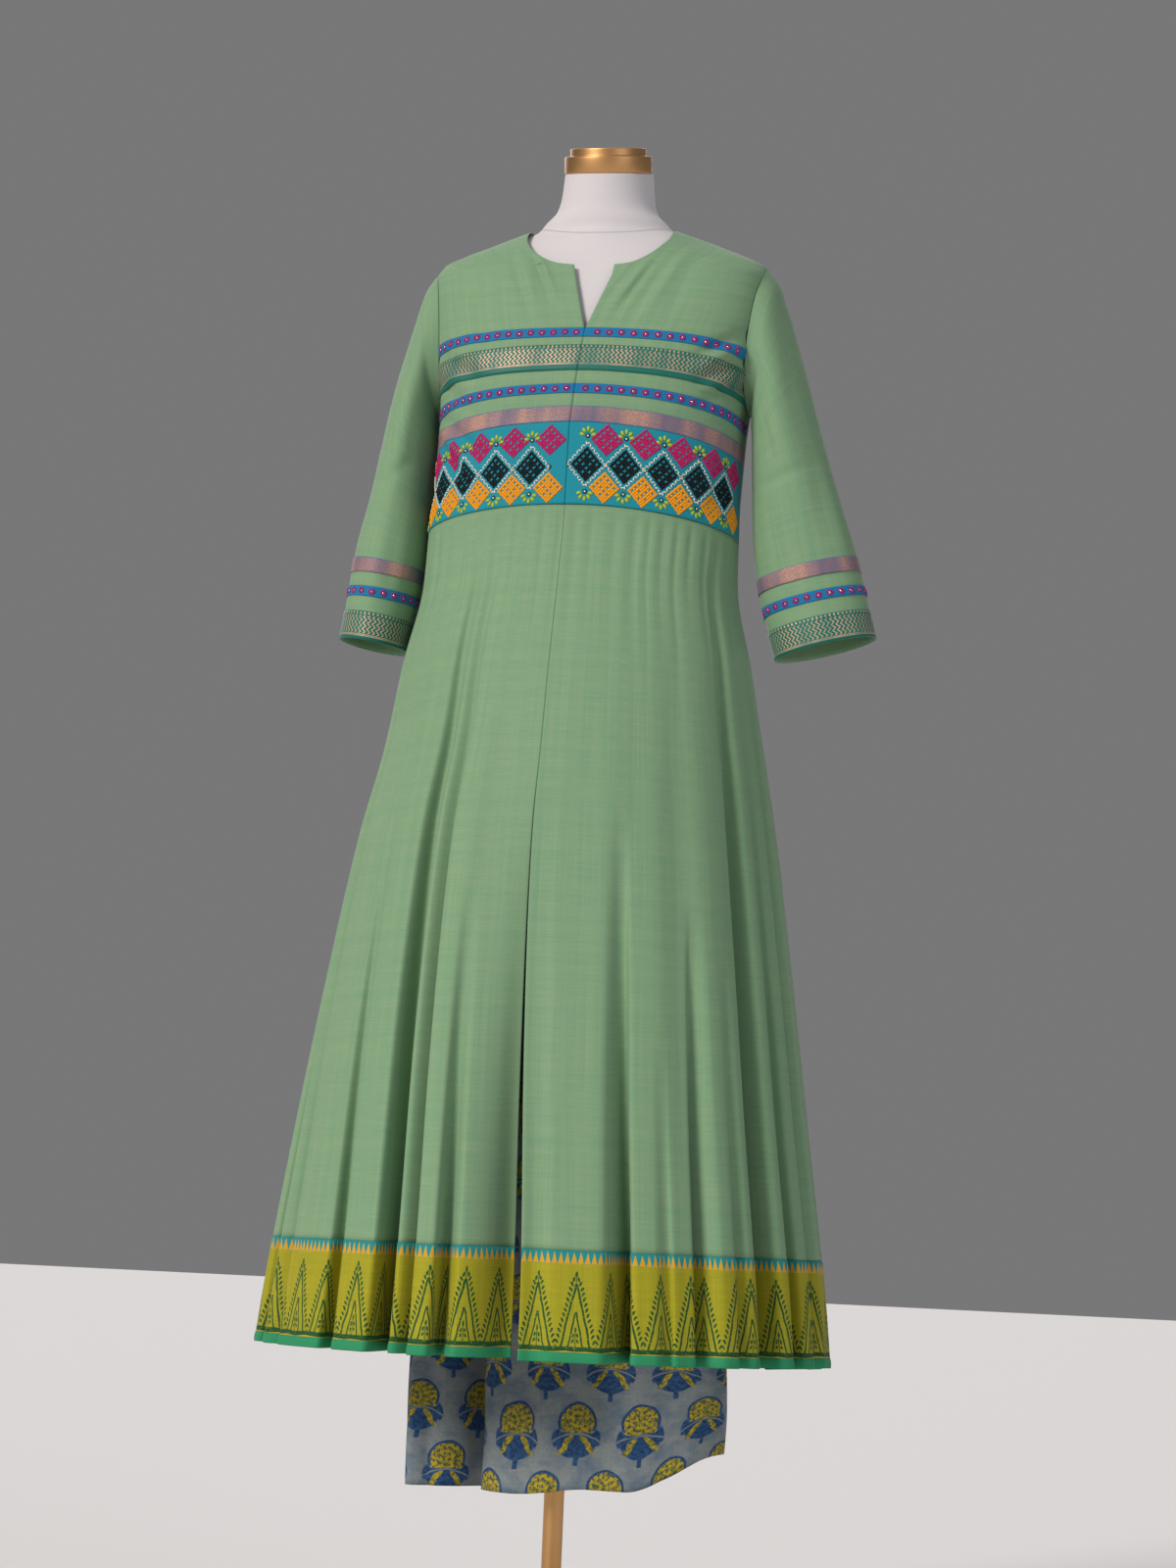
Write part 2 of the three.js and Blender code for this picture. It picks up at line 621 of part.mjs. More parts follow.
function skirtPieces(suffix, from, to) {
  const whole = skirtSurface(from, to, suffix);
  const last = SKIRT_LEVELS.length - 1;
  const panel = suffix === 'back' ? 'skirt_back' : `skirt_front_${suffix}`;
  return [
    wall(panel, rowsOf(whole, 0, last), -CLOTH, 0, COLOURS.cloth),
    wall(`hem_border_${suffix}`, rowsOf(whole, last + 1, last + 3), -CLOTH, 0, COLOURS.border),
    wall(`hem_piping_${suffix}`, rowsOf(whole, last + 4, last + 5), -CLOTH, 0, COLOURS.piping),
  ];
}

// Pants
function ringOf(rows, z, columns) {
  const line = [];
  for (let j = 0; j < columns; j += 1) line.push(sectionPoint(rows, (360 * j) / columns, z));
  return line;
}

// The top of a leg is its own part of the seat's lowest section, cut off at the crotch seam.
function legTop(leg, direction) {
  const seat = SEAT[SEAT.length - 1];
  const limit = CROTCH_X + (leg.topX > CROTCH_X ? 1 : -1) * CROTCH_EASE;
  const a = (direction.x / seat.half) ** 2 + (direction.y / seat.front) ** 2;
  const b = (2 * leg.topX * direction.x) / seat.half ** 2;
  const c = (leg.topX / seat.half) ** 2 - 1;
  const round = (-b + Math.sqrt(b * b - 4 * a * c)) / (2 * a);
  const straight = (limit - leg.topX) / direction.x;
  return straight > 0 ? Math.min(round, straight) : round;
}

function legSurface(leg) {
  const points = LEG_LEVELS.map((level) => {
    const line = [];
    for (let j = 0; j < LEG_COLUMNS; j += 1) {
      const turn = -(2 * Math.PI * j) / LEG_COLUMNS;
      const direction = new THREE.Vector3(Math.cos(turn), Math.sin(turn), 0);
      const top = direction.clone().multiplyScalar(legTop(leg, direction));
      top.x += leg.topX;
      const local = turn - rad(leg.turn);
      const low = new THREE.Vector3(leg.long * Math.cos(local), leg.short * Math.sin(local), 0);
      low.applyAxisAngle(UP, rad(leg.turn));
      low.x += leg.x;
      low.y += leg.y;
      const point = top.lerp(low, level[leg.side]);
      const outwards = smooth((point.x - HEM_RISE_FROM) / HEM_RISE_WIDTH);
      const rise = level.z === PANTS_HEM ? leg.hemRise * outwards : 0;
      line.push(point.setZ(level.z + rise));
    }
    return line;
  });
  return surface(points, true);
}

// Build
const group = new THREE.Group();

const capProfile = [
  [0, 0],
  [CAP_RADIUS, 0],
  [CAP_RADIUS, CAP_BAND - 1],
  [CAP_RADIUS - 1, CAP_BAND],
  [CAP_STEP_RADIUS, CAP_BAND],
  [CAP_STEP_RADIUS, CAP_HEIGHT - CAP_EDGE],
  [CAP_STEP_RADIUS - CAP_EDGE, CAP_HEIGHT],
  [0, CAP_HEIGHT],
];
const cap = lathe('neck_cap', capProfile, COLOURS.brass);
cap.rotation.x = CAP_TILT;
cap.position.set(0, NECK_CENTRE_Y, NECK_TOP);
cap.translateZ(SEAM_GAP);
group.add(cap);

const torso = FORM.map((row, i) => {
  const line = ringOf(FORM, row.z, FORM_COLUMNS);
  if (i === 0) {
    line.forEach((p) => {
      p.z += (p.y - NECK_CENTRE_Y) * Math.tan(CAP_TILT);
    });
  }
  return line;
});
group.add(loft('form_torso', torso, COLOURS.cover));

const poleFoot = BASE_HEIGHT + SEAM_GAP + HUB_HEIGHT - SOCKET_DEPTH;
const poleTop = FORM_BOTTOM - SEAM_GAP;
const poleLength = poleTop - poleFoot - SEAM_GAP;
const poleGeometry = new THREE.CylinderGeometry(POLE_RADIUS, POLE_RADIUS, poleLength, ROUND_SIDES);
const pole = metalMesh('stand_pole', poleGeometry, COLOURS.brass);
pole.position.z = poleTop - poleLength / 2;
group.add(pole);

const hubFoot = BASE_HEIGHT + SEAM_GAP;
const hubProfile = [
  [0, hubFoot],
  [HUB_RADIUS, hubFoot],
  [HUB_RADIUS, hubFoot + HUB_HEIGHT / 3],
  [HUB_NECK_RADIUS, hubFoot + HUB_HEIGHT],
  [POLE_RADIUS + SEAM_GAP, hubFoot + HUB_HEIGHT],
  [POLE_RADIUS + SEAM_GAP, poleFoot],
  [0, poleFoot],
];
const baseProfile = [
  [0, 0],
  [BASE_RADIUS, 0],
  [BASE_RADIUS, BASE_HEIGHT - BASE_EDGE],
  [BASE_RADIUS - BASE_EDGE, BASE_HEIGHT],
  [0, BASE_HEIGHT],
];
group.add(lathe('stand_hub', hubProfile, COLOURS.steel), lathe('stand_base', baseProfile, COLOURS.steel));

const back = backSurface();
group.add(wall('bodice_back', back, -CLOTH, 0, COLOURS.cloth));
['right', 'left'].forEach((side) => {
  const front = frontSurface(side);
  group.add(wall(`bodice_front_${side}`, front, -CLOTH, 0, COLOURS.cloth));
  BANDS.forEach((band) => {
    const rows = rowsOf(front, FRONT_LEVELS.indexOf(band.top), FRONT_LEVELS.indexOf(band.bottom));
    group.add(wall(`${band.name}_${side}`, rows, SEAM_GAP, SEAM_GAP + TRIM, band.colour));
  });
  const sleeve = sleeveSurface(side, front, back);
  group.add(wall(`sleeve_${side}`, sleeve, -CLOTH, 0, COLOURS.cloth));
  const cuffRow = SLEEVES[side].length - 1;
  CUFF_BANDS.forEach((band, k) => {
    const rows = rowsOf(sleeve, cuffRow + 2 * k, cuffRow + 2 * k + 1);
    group.add(wall(`${band.name}_${side}`, rows, SEAM_GAP, SEAM_GAP + TRIM, band.colour));
  });
});
group.add(...skirtPieces('right', SLIT_ANGLE, 90));
group.add(...skirtPieces('left', -90, SLIT_ANGLE));
group.add(...skirtPieces('back', 90, 270));

const bandEdges = [WAISTBAND.top, WAISTBAND.bottom].map((z) => ringOf(FORM, z, FORM_COLUMNS));
const bandOuter = SEAM_GAP + WAISTBAND_THICKNESS;
group.add(wall('pants_waistband', surface(bandEdges, true), SEAM_GAP, bandOuter, COLOURS.print));
const seatRings = SEAT.map((row) => ringOf(SEAT, row.z, FORM_COLUMNS));
group.add(wall('pants_seat', levelEnds(surface(seatRings, true)), -CLOTH, 0, COLOURS.print));
LEGS.forEach((leg) => {
  const sheet = levelEnds(legSurface(leg));
  group.add(wall(`pants_leg_${leg.side}`, sheet, -CLOTH, 0, COLOURS.print));
});

export default group;
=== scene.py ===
import math

import bmesh
import bpy
import numpy as np
from mathutils import Matrix, Vector


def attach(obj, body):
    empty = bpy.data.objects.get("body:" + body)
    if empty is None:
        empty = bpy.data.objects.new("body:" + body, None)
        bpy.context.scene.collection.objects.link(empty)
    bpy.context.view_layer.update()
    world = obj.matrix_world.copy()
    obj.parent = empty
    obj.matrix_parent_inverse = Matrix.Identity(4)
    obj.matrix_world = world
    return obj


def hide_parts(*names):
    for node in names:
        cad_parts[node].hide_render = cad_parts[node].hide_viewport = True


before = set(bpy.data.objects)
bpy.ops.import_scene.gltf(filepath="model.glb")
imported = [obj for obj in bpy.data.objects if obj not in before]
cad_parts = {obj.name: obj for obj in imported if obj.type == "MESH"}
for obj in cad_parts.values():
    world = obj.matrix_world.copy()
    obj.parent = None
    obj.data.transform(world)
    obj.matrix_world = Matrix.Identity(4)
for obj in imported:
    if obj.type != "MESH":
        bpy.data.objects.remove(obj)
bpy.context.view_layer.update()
print("CAD nodes:", len(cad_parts))

# %% [markdown]
# ## The garment's shape as a table
# A tailor writes a garment down as measures at certain heights, and a table of levels does the same. Each row is
# a height, the half width there, the depth in front and behind, a shift to the side, and how square the section
# is, where 2 is an ellipse. The whole kurti could be sculpted by hand instead, but a table keeps the real
# measures, and the CAD model was made from the same one, so that every finer piece fits it.
# %% Levels of the kurti, in millimetres
MM = 0.001
SIDES = {"right": 1, "left": -1}
DRESS = [
    (1600, 84, 60, 52, 0, 1.8),
    (1592, 108, 66, 57, 0, 1.75),
    (1583, 133, 72, 62, 0, 1.7),
    (1568, 168, 82, 72, 0, 1.9),
    (1557, 186, 88, 78, 0, 2.2),
    (1541, 190, 95, 86, 0, 2.8),
    (1500, 188, 108, 96, 0, 3.0),
    (1463, 183, 117, 99, -1, 3.0),
    (1400, 174, 127, 97, -4, 2.7),
    (1357, 172, 127, 94, -6, 2.5),
    (1300, 172, 123, 90, -9, 2.4),
    (1249, 175, 120, 88, -12, 2.3),
    (1194, 177, 130, 99, -13, 2.2),
    (1106, 195, 156, 128, -13, 2.1),
    (1007, 212, 186, 158, -12, 2.0),
    (908, 232, 206, 184, -15, 2.0),
    (754, 257, 233, 214, -17, 2.0),
    (589, 282, 257, 241, -19, 2.0),
    (425, 306, 273, 259, -20, 2.0),
    (320, 318, 281, 267, -21, 2.0),
]
print("levels of the kurti:", len(DRESS))

# %% [markdown]
# ## Smooth curves between the levels
# Cloth runs smoothly from one measured level to the next. A straight line would leave a kink at each level, and
# an ordinary spline swings out past the measures. So `curve` uses slopes that fall to nothing wherever the
# values turn back, and it stays between its neighbours. `smooth` is the usual soft start and soft stop, and
# `crossing` finds by halving where a rising measure passes zero.
# %% Curves


def curve(xs, ys):
    """A smooth curve through the points that never overshoots them."""
    order = np.argsort(xs)
    xs = np.asarray(xs, float)[order]
    ys = np.asarray(ys, float)[order]
    step = np.diff(xs)
    slope = np.diff(ys) / step
    same = slope[:-1] * slope[1:] > 0
    both = np.where(same, slope[:-1] + slope[1:], 1)
    inner = np.where(same, 2 * slope[:-1] * slope[1:] / both, 0)
    tangent = np.concatenate(([slope[0]], inner, [slope[-1]]))

    def value(x):
        x = np.clip(x, xs[0], xs[-1])
        i = np.clip(np.searchsorted(xs, x) - 1, 0, len(step) - 1)
        t = (x - xs[i]) / step[i]
        ends = ys[i] * (1 + 2 * t) * (1 - t) ** 2 + ys[i + 1] * t * t * (3 - 2 * t)
        return ends + step[i] * (tangent[i] * t * (1 - t) ** 2 + tangent[i + 1] * t * t * (t - 1))

    return value


def smooth(t):
    """0 below 0 and 1 above 1, with a soft start and a soft stop between."""
    t = np.clip(t, 0, 1)
    return t * t * (3 - 2 * t)


HALVINGS = 40


def crossing(rising, low, high):
    """Where a rising function passes zero between low and high, for whole arrays at once."""
    for _ in range(HALVINGS):
        middle = (low + high) / 2
        below = rising(middle) < 0
        low = np.where(below, middle, low)
        high = np.where(below, high, middle)
    return (low + high) / 2


print("half way up a soft rise:", float(smooth(0.5)))

# %% [markdown]
# ## Sections round the body
# Cut level, a body or a hanging skirt is a rounded oval, fuller in front than behind. A superellipse draws that
# with a handful of numbers. `Sections` stacks such ovals, and gives the point of the cloth at any direction and
# height. Directions are degrees round from the centre front towards the viewer's right.
# %% Sections


class Sections:
    """Superellipse sections stacked up z."""

    def __init__(self, rows):
        columns = list(zip(*rows))
        self.half, self.front, self.back, self.shift, self.square = (
            curve(columns[0], column) for column in columns[1:]
        )

    def point(self, at, z):
        side, ahead = np.sin(np.radians(at)), np.cos(np.radians(at))
        square = self.square(z)
        reach = (np.abs(side) ** square + np.abs(ahead) ** square) ** (-1 / square)
        depth = np.where(ahead >= 0, self.front(z), self.back(z))
        x = self.shift(z) + self.half(z) * reach * side
        return np.stack([x, -depth * reach * ahead, z + 0 * x], axis=-1)


dress = Sections(DRESS)
print("centre front at the chest, in mm:", dress.point(0.0, np.array(1400.0)).round(1))

# %% [markdown]
# ## Cloth as a grid of points
# A woven cloth has threads across and threads down, so a grid is its natural mesh: rows run down the cloth and
# columns run across it, towards the viewer's right. Beside its points, each cloth here knows which way it faces
# and how far every point lies along the threads, in millimetres. A tailor's tape laid on the cloth would read
# the same numbers, so prints, weaves and stitches can be placed by them and keep their size over a fold.
# %% A cloth and its threads


def normals_of(points, closed=False):
    """Outward unit normals of a grid; a closed grid goes all the way round."""
    if closed:
        ring = points[:, :-1]
        across = np.roll(ring, -1, axis=1) - np.roll(ring, 1, axis=1)
        across = np.concatenate([across, across[:, :1]], axis=1)
    else:
        across = np.gradient(points, axis=1)
    down = np.gradient(points, axis=0)
    normal = np.cross(down, across)
    return normal / np.maximum(np.linalg.norm(normal, axis=-1, keepdims=True), 1e-9)


def lengths(points, axis):
    """Distance along the cloth from the first row or column, in millimetres."""
    steps = np.linalg.norm(np.diff(points, axis=axis), axis=-1)
    start = np.zeros_like(np.take(steps, [0], axis=axis))
    return np.concatenate([start, np.cumsum(steps, axis=axis)], axis=axis)


class Cloth:
    """A grid of points in millimetres with normals and cloth coordinates u (across) and v (down)."""

    def __init__(self, points, closed=False, zero=0.0):
        self.points = points
        self.closed = closed
        self.normals = normals_of(points, closed)
        across = lengths(points, 1)
        self.u = across - across[:, -1:] * zero
        self.v = np.broadcast_to(lengths(points, 0).mean(axis=1)[:, None], self.u.shape)

    def offset(self, lift):
        """The same cloth, lifted off its own face."""
        moved = Cloth.__new__(Cloth)
        moved.__dict__.update(self.__dict__)
        moved.points = self.points + self.normals * lift
        return moved

    def place(self, u, v, lift):
        """Points in millimetres for cloth coordinates, lifted off the cloth."""
        u, v, lift = np.broadcast_arrays(np.asarray(u, float), v, lift)
        out = np.zeros(u.shape + (3,))
        row = np.interp(v, self.v[:, 0], np.arange(len(self.v)))
        first = np.minimum(row.astype(int), len(self.v) - 2)
        number = np.arange(self.u.shape[1])
        for i in np.unique(first):
            here = first == i
            part = (row[here] - i)[:, None]
            column = np.interp(u[here], self.u[i], number) * (1 - part[:, 0])
            column += np.interp(u[here], self.u[i + 1], number) * part[:, 0]
            j = np.minimum(column.astype(int), len(number) - 2)
            side = (column - j)[:, None]
            both = []
            for grid in (self.points, self.normals):
                upper = grid[i, j] * (1 - side) + grid[i, j + 1] * side
                lower = grid[i + 1, j] * (1 - side) + grid[i + 1, j + 1] * side
                both.append(upper * (1 - part) + lower * part)
            out[here] = both[0] + both[1] * lift[here][:, None]
        return out


print("a cloth keeps: points, normals, u across and v down")

# %% [markdown]
# ## From the grid to a mesh
# `create_grid` makes a flat grid with good faces, and every vertex of it is then moved to its place on the
# cloth. Typing lists of vertices and faces would give the same mesh, but it is easy to get wrong, and the
# operator numbers everything by itself. The two cloth coordinates go into a UV map called "cloth_mm". A sleeve
# or a leg closes on itself, so the doubled vertices along its seam are merged.
# %% A grid mesh with its UV map


def add_object(name, mesh, material, body="root"):
    """A mesh as an object that the frame carries on one of its bodies."""
    item = bpy.data.objects.new(name, mesh)
    bpy.context.scene.collection.objects.link(item)
    item.data.materials.append(material)
    item.data.shade_smooth()
    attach(item, body)
    return item


def grid_mesh(name, cloth):
    """One grid made by create_grid, moved onto the cloth's points, with its UV map in millimetres."""
    rows, columns = cloth.points.shape[:2]
    bm = bmesh.new()
    bmesh.ops.create_grid(bm, x_segments=columns - 1, y_segments=rows - 1, size=0.5)
    bm.verts.ensure_lookup_table()
    flat = np.array([vert.co[:2] for vert in bm.verts])
    j = np.rint((flat[:, 0] + 0.5) * (columns - 1)).astype(int)
    i = rows - 1 - np.rint((flat[:, 1] + 0.5) * (rows - 1)).astype(int)
    layer = bm.loops.layers.uv.new("cloth_mm")
    for vert, place, u, v in zip(bm.verts, cloth.points[i, j] * MM, cloth.u[i, j], cloth.v[i, j]):
        vert.co = place
        for loop in vert.link_loops:
            loop[layer].uv = (u, v)
    if cloth.closed:
        bmesh.ops.remove_doubles(bm, verts=bm.verts, dist=1e-6)
    mesh = bpy.data.meshes.new(name)
    bm.to_mesh(mesh)
    bm.free()
    return mesh


print("ready to make cloth meshes")

# %% [markdown]
# ## A sheet with a real thickness
# Cotton is a third of a millimetre thick, and its edges are turned under, which makes about 0.8 mm. A single
# layer of faces has no edge to see, so the Solidify modifier gives each sheet its thickness, and it grows inwards
# so that the outer face stays where the table put it. Each sheet's flat size is measured along the threads, as a
# cutter would do.
# %% Sheets and their flat sizes


def sheet(name, cloth, material, flat, held, thickness=0.8, replaces=(), slot=None, area=None, rests_on=()):
    """A cloth panel: its grid with a thickness inwards, in place of the CAD parts that it replaces."""
    item = add_object(name, grid_mesh(name, cloth), material)
    shell = item.modifiers.new("Cloth thickness", "SOLIDIFY")
    shell.thickness = thickness * MM
    shell.offset = -1
    shell.use_even_offset = False
    if replaces:
        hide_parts(*replaces)
    return item


def cloth_size(cloth):
    """Flat width, length and area of a panel in metres, measured along the cloth."""
    width = lengths(cloth.points, 1)[:, -1] * MM
    down = np.linalg.norm(np.diff(cloth.points, axis=0), axis=-1) * MM
    length = down.sum(axis=0)
    cell = (width[:-1] + width[1:]) / 2 * down.mean(axis=1)
    return float(width.max()), float(length.max()), float(cell.sum())


# A flat piece can't be smaller than about a third of the rectangle it is cut from.
LEAST_SHARE = 0.31


def measured(cloth, **words):
    """Adds the measured flat size and area to the words that a panel is made with."""
    width, length, area = cloth_size(cloth)
    words["flat"] = (round(width, 4), round(length, 4))
    words["area"] = round(min(max(area, LEAST_SHARE * width * length), width * length), 5)
    return words


print("ready to cut sheets")

# %% [markdown]
# ## Creases
# Where cloth is pulled, as from a shoulder to the chest, it lies in short soft creases. A cloth simulation can
# make them, but it puts them where it likes, and here they have to lie where the real ones are. So each crease is
# one line laid on the cloth: its two ends, its width, and its depth, which is negative for a groove and
# positive for a ridge. It is deepest in the middle of the line and fades out to both sides.
# %% Creases
# What is left of a crease's depth at its two ends.
CREASE_ENDS = 0.3


def crease_depth(a, b, lines):
    """Sum of all the creases at places (a, b): each line is (a1, b1, a2, b2, width, depth)."""
    total = np.zeros_like(a)
    for a1, b1, a2, b2, width, depth in lines:
        da, db = a2 - a1, b2 - b1
        t = np.clip(((a - a1) * da + (b - b1) * db) / (da * da + db * db), 0, 1)
        away = np.hypot(a - a1 - t * da, b - b1 - t * db)
        along = CREASE_ENDS + (1 - CREASE_ENDS) * np.sin(np.pi * t)
        total += depth * along * np.exp(-((away / width) ** 2))
    return total


print("ready to lay creases")

# %% [markdown]
# ## The camera
# The photograph was taken from a little to the right of the centre front and from about knee height, with a
# long lens. The form in it leans by 2.41 degrees. The model stands upright instead, and the camera is rolled by
# the same amount, so the picture is the same and the stand's base still lies flat on the floor.
# %% Camera
CAMERA_AT = Vector((0.763, -3.926, 0.55))
CAMERA_AIM = Vector((0.0042, 0.0008, 0.9745))
CAMERA_ROLL = math.radians(2.41)
CAMERA_LENS = 82.9
camera_data = bpy.data.cameras.new("camera")
camera_data.lens = CAMERA_LENS
camera = bpy.data.objects.new("camera", camera_data)
bpy.context.scene.collection.objects.link(camera)
camera.location = CAMERA_AT
turn = (CAMERA_AIM - CAMERA_AT).to_track_quat("-Z", "Y").to_matrix().to_4x4()
camera.matrix_world = Matrix.Translation(CAMERA_AT) @ turn @ Matrix.Rotation(CAMERA_ROLL, 4, "Z")
bpy.context.scene.camera = camera
print("camera placed at", tuple(CAMERA_AT))

# %% [markdown]
# ## Finishes
# In Blender a finish is a small network of nodes that ends in a shader. Three helpers make all of them. `srgb`
# turns a screen colour into the linear colour that light adds up in. `add_node` adds any one node with its
# settings and its links, so the rest reads like a wiring list. `finish` starts a material from the general
# shader, called Principled, and sets the values that are the same all over on the shader itself.
# %% Helpers for the finishes


def srgb(code):
    """Linear colour of a screen colour written in hex."""
    parts = [int(code[k : k + 2], 16) / 255 for k in (1, 3, 5)]
    linear = [c / 12.92 if c <= 0.04045 else ((c + 0.055) / 1.055) ** 2.4 for c in parts]
    return (*linear, 1.0)


def add_node(tree, kind, inputs=None, **settings):
    """Adds a shader node; inputs are values or the sockets to link from."""
    node = tree.nodes.new(kind)
    for key, value in settings.items():
        setattr(node, key, value)
    for key, value in (inputs or {}).items():
        if isinstance(value, bpy.types.NodeSocket):
            tree.links.new(value, node.inputs[key])
        else:
            node.inputs[key].default_value = value
    return node


def finish(name, **settings):
    """A material with its node tree and its shader; a setting's underscores stand for spaces."""
    material = bpy.data.materials.new(name)
    material.use_nodes = True
    tree = material.node_tree
    shader = tree.nodes["Principled BSDF"]
    for key, value in settings.items():
        shader.inputs[key.replace("_", " ")].default_value = value
    return material, tree, shader


def paint(tree, shader, colour):
    """Colours a finish by a pattern instead of one plain colour."""
    tree.links.new(colour, shader.inputs["Base Color"])


print("a pale green, made linear:", [round(part, 3) for part in srgb("#96a67c")[:3]])

# %% [markdown]
# ## Patterns in cloth
# A print, a stripe or a weave can be a picture wrapped round the mesh, but a picture goes soft close up and has
# seams. A pattern that is worked out from the cloth's own millimetres stays sharp. `Pattern` is one such number
# that varies over the cloth: arithmetic on it adds Math nodes to the material. A printed figure is a pattern
# that is below 0 inside the figure and above 0 outside, like a height map with its shore at 0, so the lower of
# two figures is both together, and the higher is their overlap.
# %% Patterns


class Pattern:
    """A number that varies over the cloth."""

    def __init__(self, tree, socket):
        self.tree = tree
        self.socket = socket

    def worked(self, operation, other=0.0):
        other = other.socket if isinstance(other, Pattern) else other
        node = add_node(self.tree, "ShaderNodeMath", {0: self.socket, 1: other}, operation=operation)
        return Pattern(self.tree, node.outputs[0])

    def __add__(self, other):
        return self.worked("ADD", other)

    def __sub__(self, other):
        return self.worked("SUBTRACT", other)

    def __mul__(self, other):
        return self.worked("MULTIPLY", other)

    def __abs__(self):
        return self.worked("ABSOLUTE")

    def __mod__(self, other):
        return self.worked("FLOORED_MODULO", other)

    def either(self, other):
        """Both figures together."""
        return self.worked("MINIMUM", other)

    def within(self, other):
        """The part of this figure that lies inside the other."""
        return self.worked("MAXIMUM", other)

    def rising(self, low, high):
        """0 below low and 1 above high, with a straight rise between."""
        inputs = {0: self.socket, 1: low, 2: high, 3: 0.0, 4: 1.0}
        return Pattern(self.tree, add_node(self.tree, "ShaderNodeMapRange", inputs, clamp=True).outputs[0])

    def shown(self, soft=0.25):
        """1 inside a figure and 0 outside it, with an edge as soft as dye in cotton, in millimetres."""
        return self.rising(soft, -soft)

    def over(self, ground, dye):
        """The ground colour with the dye laid over it where this pattern is 1."""
        inputs = {0: self.socket, 6: ground, 7: dye}
        return add_node(self.tree, "ShaderNodeMix", inputs, data_type="RGBA").outputs[2]


print("ready to draw patterns")

# %% [markdown]
# ## Figures and unevenness
# Nearly every printed or woven figure here is a strip or an oval, so two helpers draw those, with all measures
# in millimetres on the cloth. `uneven` gives the soft unevenness of hand-spun thread and hand-mixed dye. It is a
# noise texture that is stretched along the thread, and it is given as how many patches fit in a millimetre
# across and down.
# %% Strips, ovals and unevenness


def between(place, low, high):
    """The strip from low to high, as a figure."""
    return abs(place - (low + high) / 2) - (high - low) / 2


def oval(x, y, at_x, at_y, half_x, half_y, lean=0.0):
    """An oval as a figure; lean slants it."""
    dx, dy = x - at_x, y - at_y
    if lean:
        dy = dy + dx * lean
    square = (dx * (1 / half_x)) * (dx * (1 / half_x)) + (dy * (1 / half_y)) * (dy * (1 / half_y))
    return (square - 1) * min(half_x, half_y) * 0.5


def cloth_places(tree):
    """The cloth's own millimetres: the place as a vector, then u across and v down."""
    place = add_node(tree, "ShaderNodeUVMap", uv_map="cloth_mm").outputs[0]
    split = add_node(tree, "ShaderNodeSeparateXYZ", {0: place})
    return place, Pattern(tree, split.outputs[0]), Pattern(tree, split.outputs[1])


def uneven(tree, place, per_mm, detail=2.0, rough=0.5):
    """Soft patches from about 0.3 to 0.7, with so many to a millimetre across and down."""
    stretched = add_node(tree, "ShaderNodeMapping", {0: place, 3: (*per_mm, 1.0)}).outputs[0]
    inputs = {"Vector": stretched, "Scale": 1.0, "Detail": detail, "Roughness": rough}
    return Pattern(tree, add_node(tree, "ShaderNodeTexNoise", inputs).outputs[0])


print("ready to draw strips and ovals")

# %% [markdown]
# ## Handloom cotton
# The green of the kurti is plain-woven handloom cotton: green threads one way and straw-coloured ones the other,
# which weavers call shot. Its thread is uneven, so thick places, called slubs, make fine streaks both ways, and
# batches of thread make a faint wide check. To the eye it is matt, soft, and never one flat green. Real threads
# lie about 0.35 mm apart, which is far too fine for the picture, so the streaks are drawn 1.1 mm apart. They run
# on for 50 to 170 mm as slubs do. The same weave serves every cotton piece, with its own two thread colours.
# %% Woven cotton
# Patches to a millimetre, across and down the cloth.
WARP_SLUBS, WEFT_SLUBS = (0.9, 0.006), (0.022, 0.8)
WARP_CHECK, WEFT_CHECK = (0.11, 0.0008), (0.0008, 0.09)
STREAK_SHARE, CHECK_SHARE = 0.3, 0.09
WEAVE_RELIEF = 0.0004


def woven(name, warp, weft, slub, sheen=0.05):
    """Plain-woven cotton: a rough surface that scatters light, with a low gloss and a trace of fuzz."""
    look = {"Roughness": 0.75, "Sheen_Weight": sheen, "Specular_IOR_Level": 0.25}
    material, tree, shader = finish(name, **look)
    place, _, _ = cloth_places(tree)
    down = uneven(tree, place, WARP_SLUBS, 3.0)
    across = uneven(tree, place, WEFT_SLUBS, 3.0)
    check_down = uneven(tree, place, WARP_CHECK, 1.0)
    check_across = uneven(tree, place, WEFT_CHECK, 1.0)
    streaks = (down.rising(0.3, 0.7) + across.rising(0.3, 0.7)) * STREAK_SHARE
    checks = (check_down.rising(0.35, 0.65) + check_across.rising(0.35, 0.65)) * CHECK_SHARE
    share = (streaks + checks) * slub + (0.5 - slub / 2)
    paint(tree, shader, share.over(srgb(warp), srgb(weft)))
    relief = {"Height": (down + across).socket, "Strength": 0.25, "Distance": WEAVE_RELIEF}
    tree.links.new(add_node(tree, "ShaderNodeBump", relief).outputs[0], shader.inputs["Normal"])
    return material


def ground_of(material):
    """The node tree, the shader and the colour that a print goes over."""
    tree = material.node_tree
    shader = tree.nodes["Principled BSDF"]
    return tree, shader, shader.inputs["Base Color"].links[0].from_socket


COTTON = woven("handloom cotton, green shot with straw", "#558b6d", "#96a67c", slub=0.75, sheen=0.1)
print("woven:", COTTON.name)

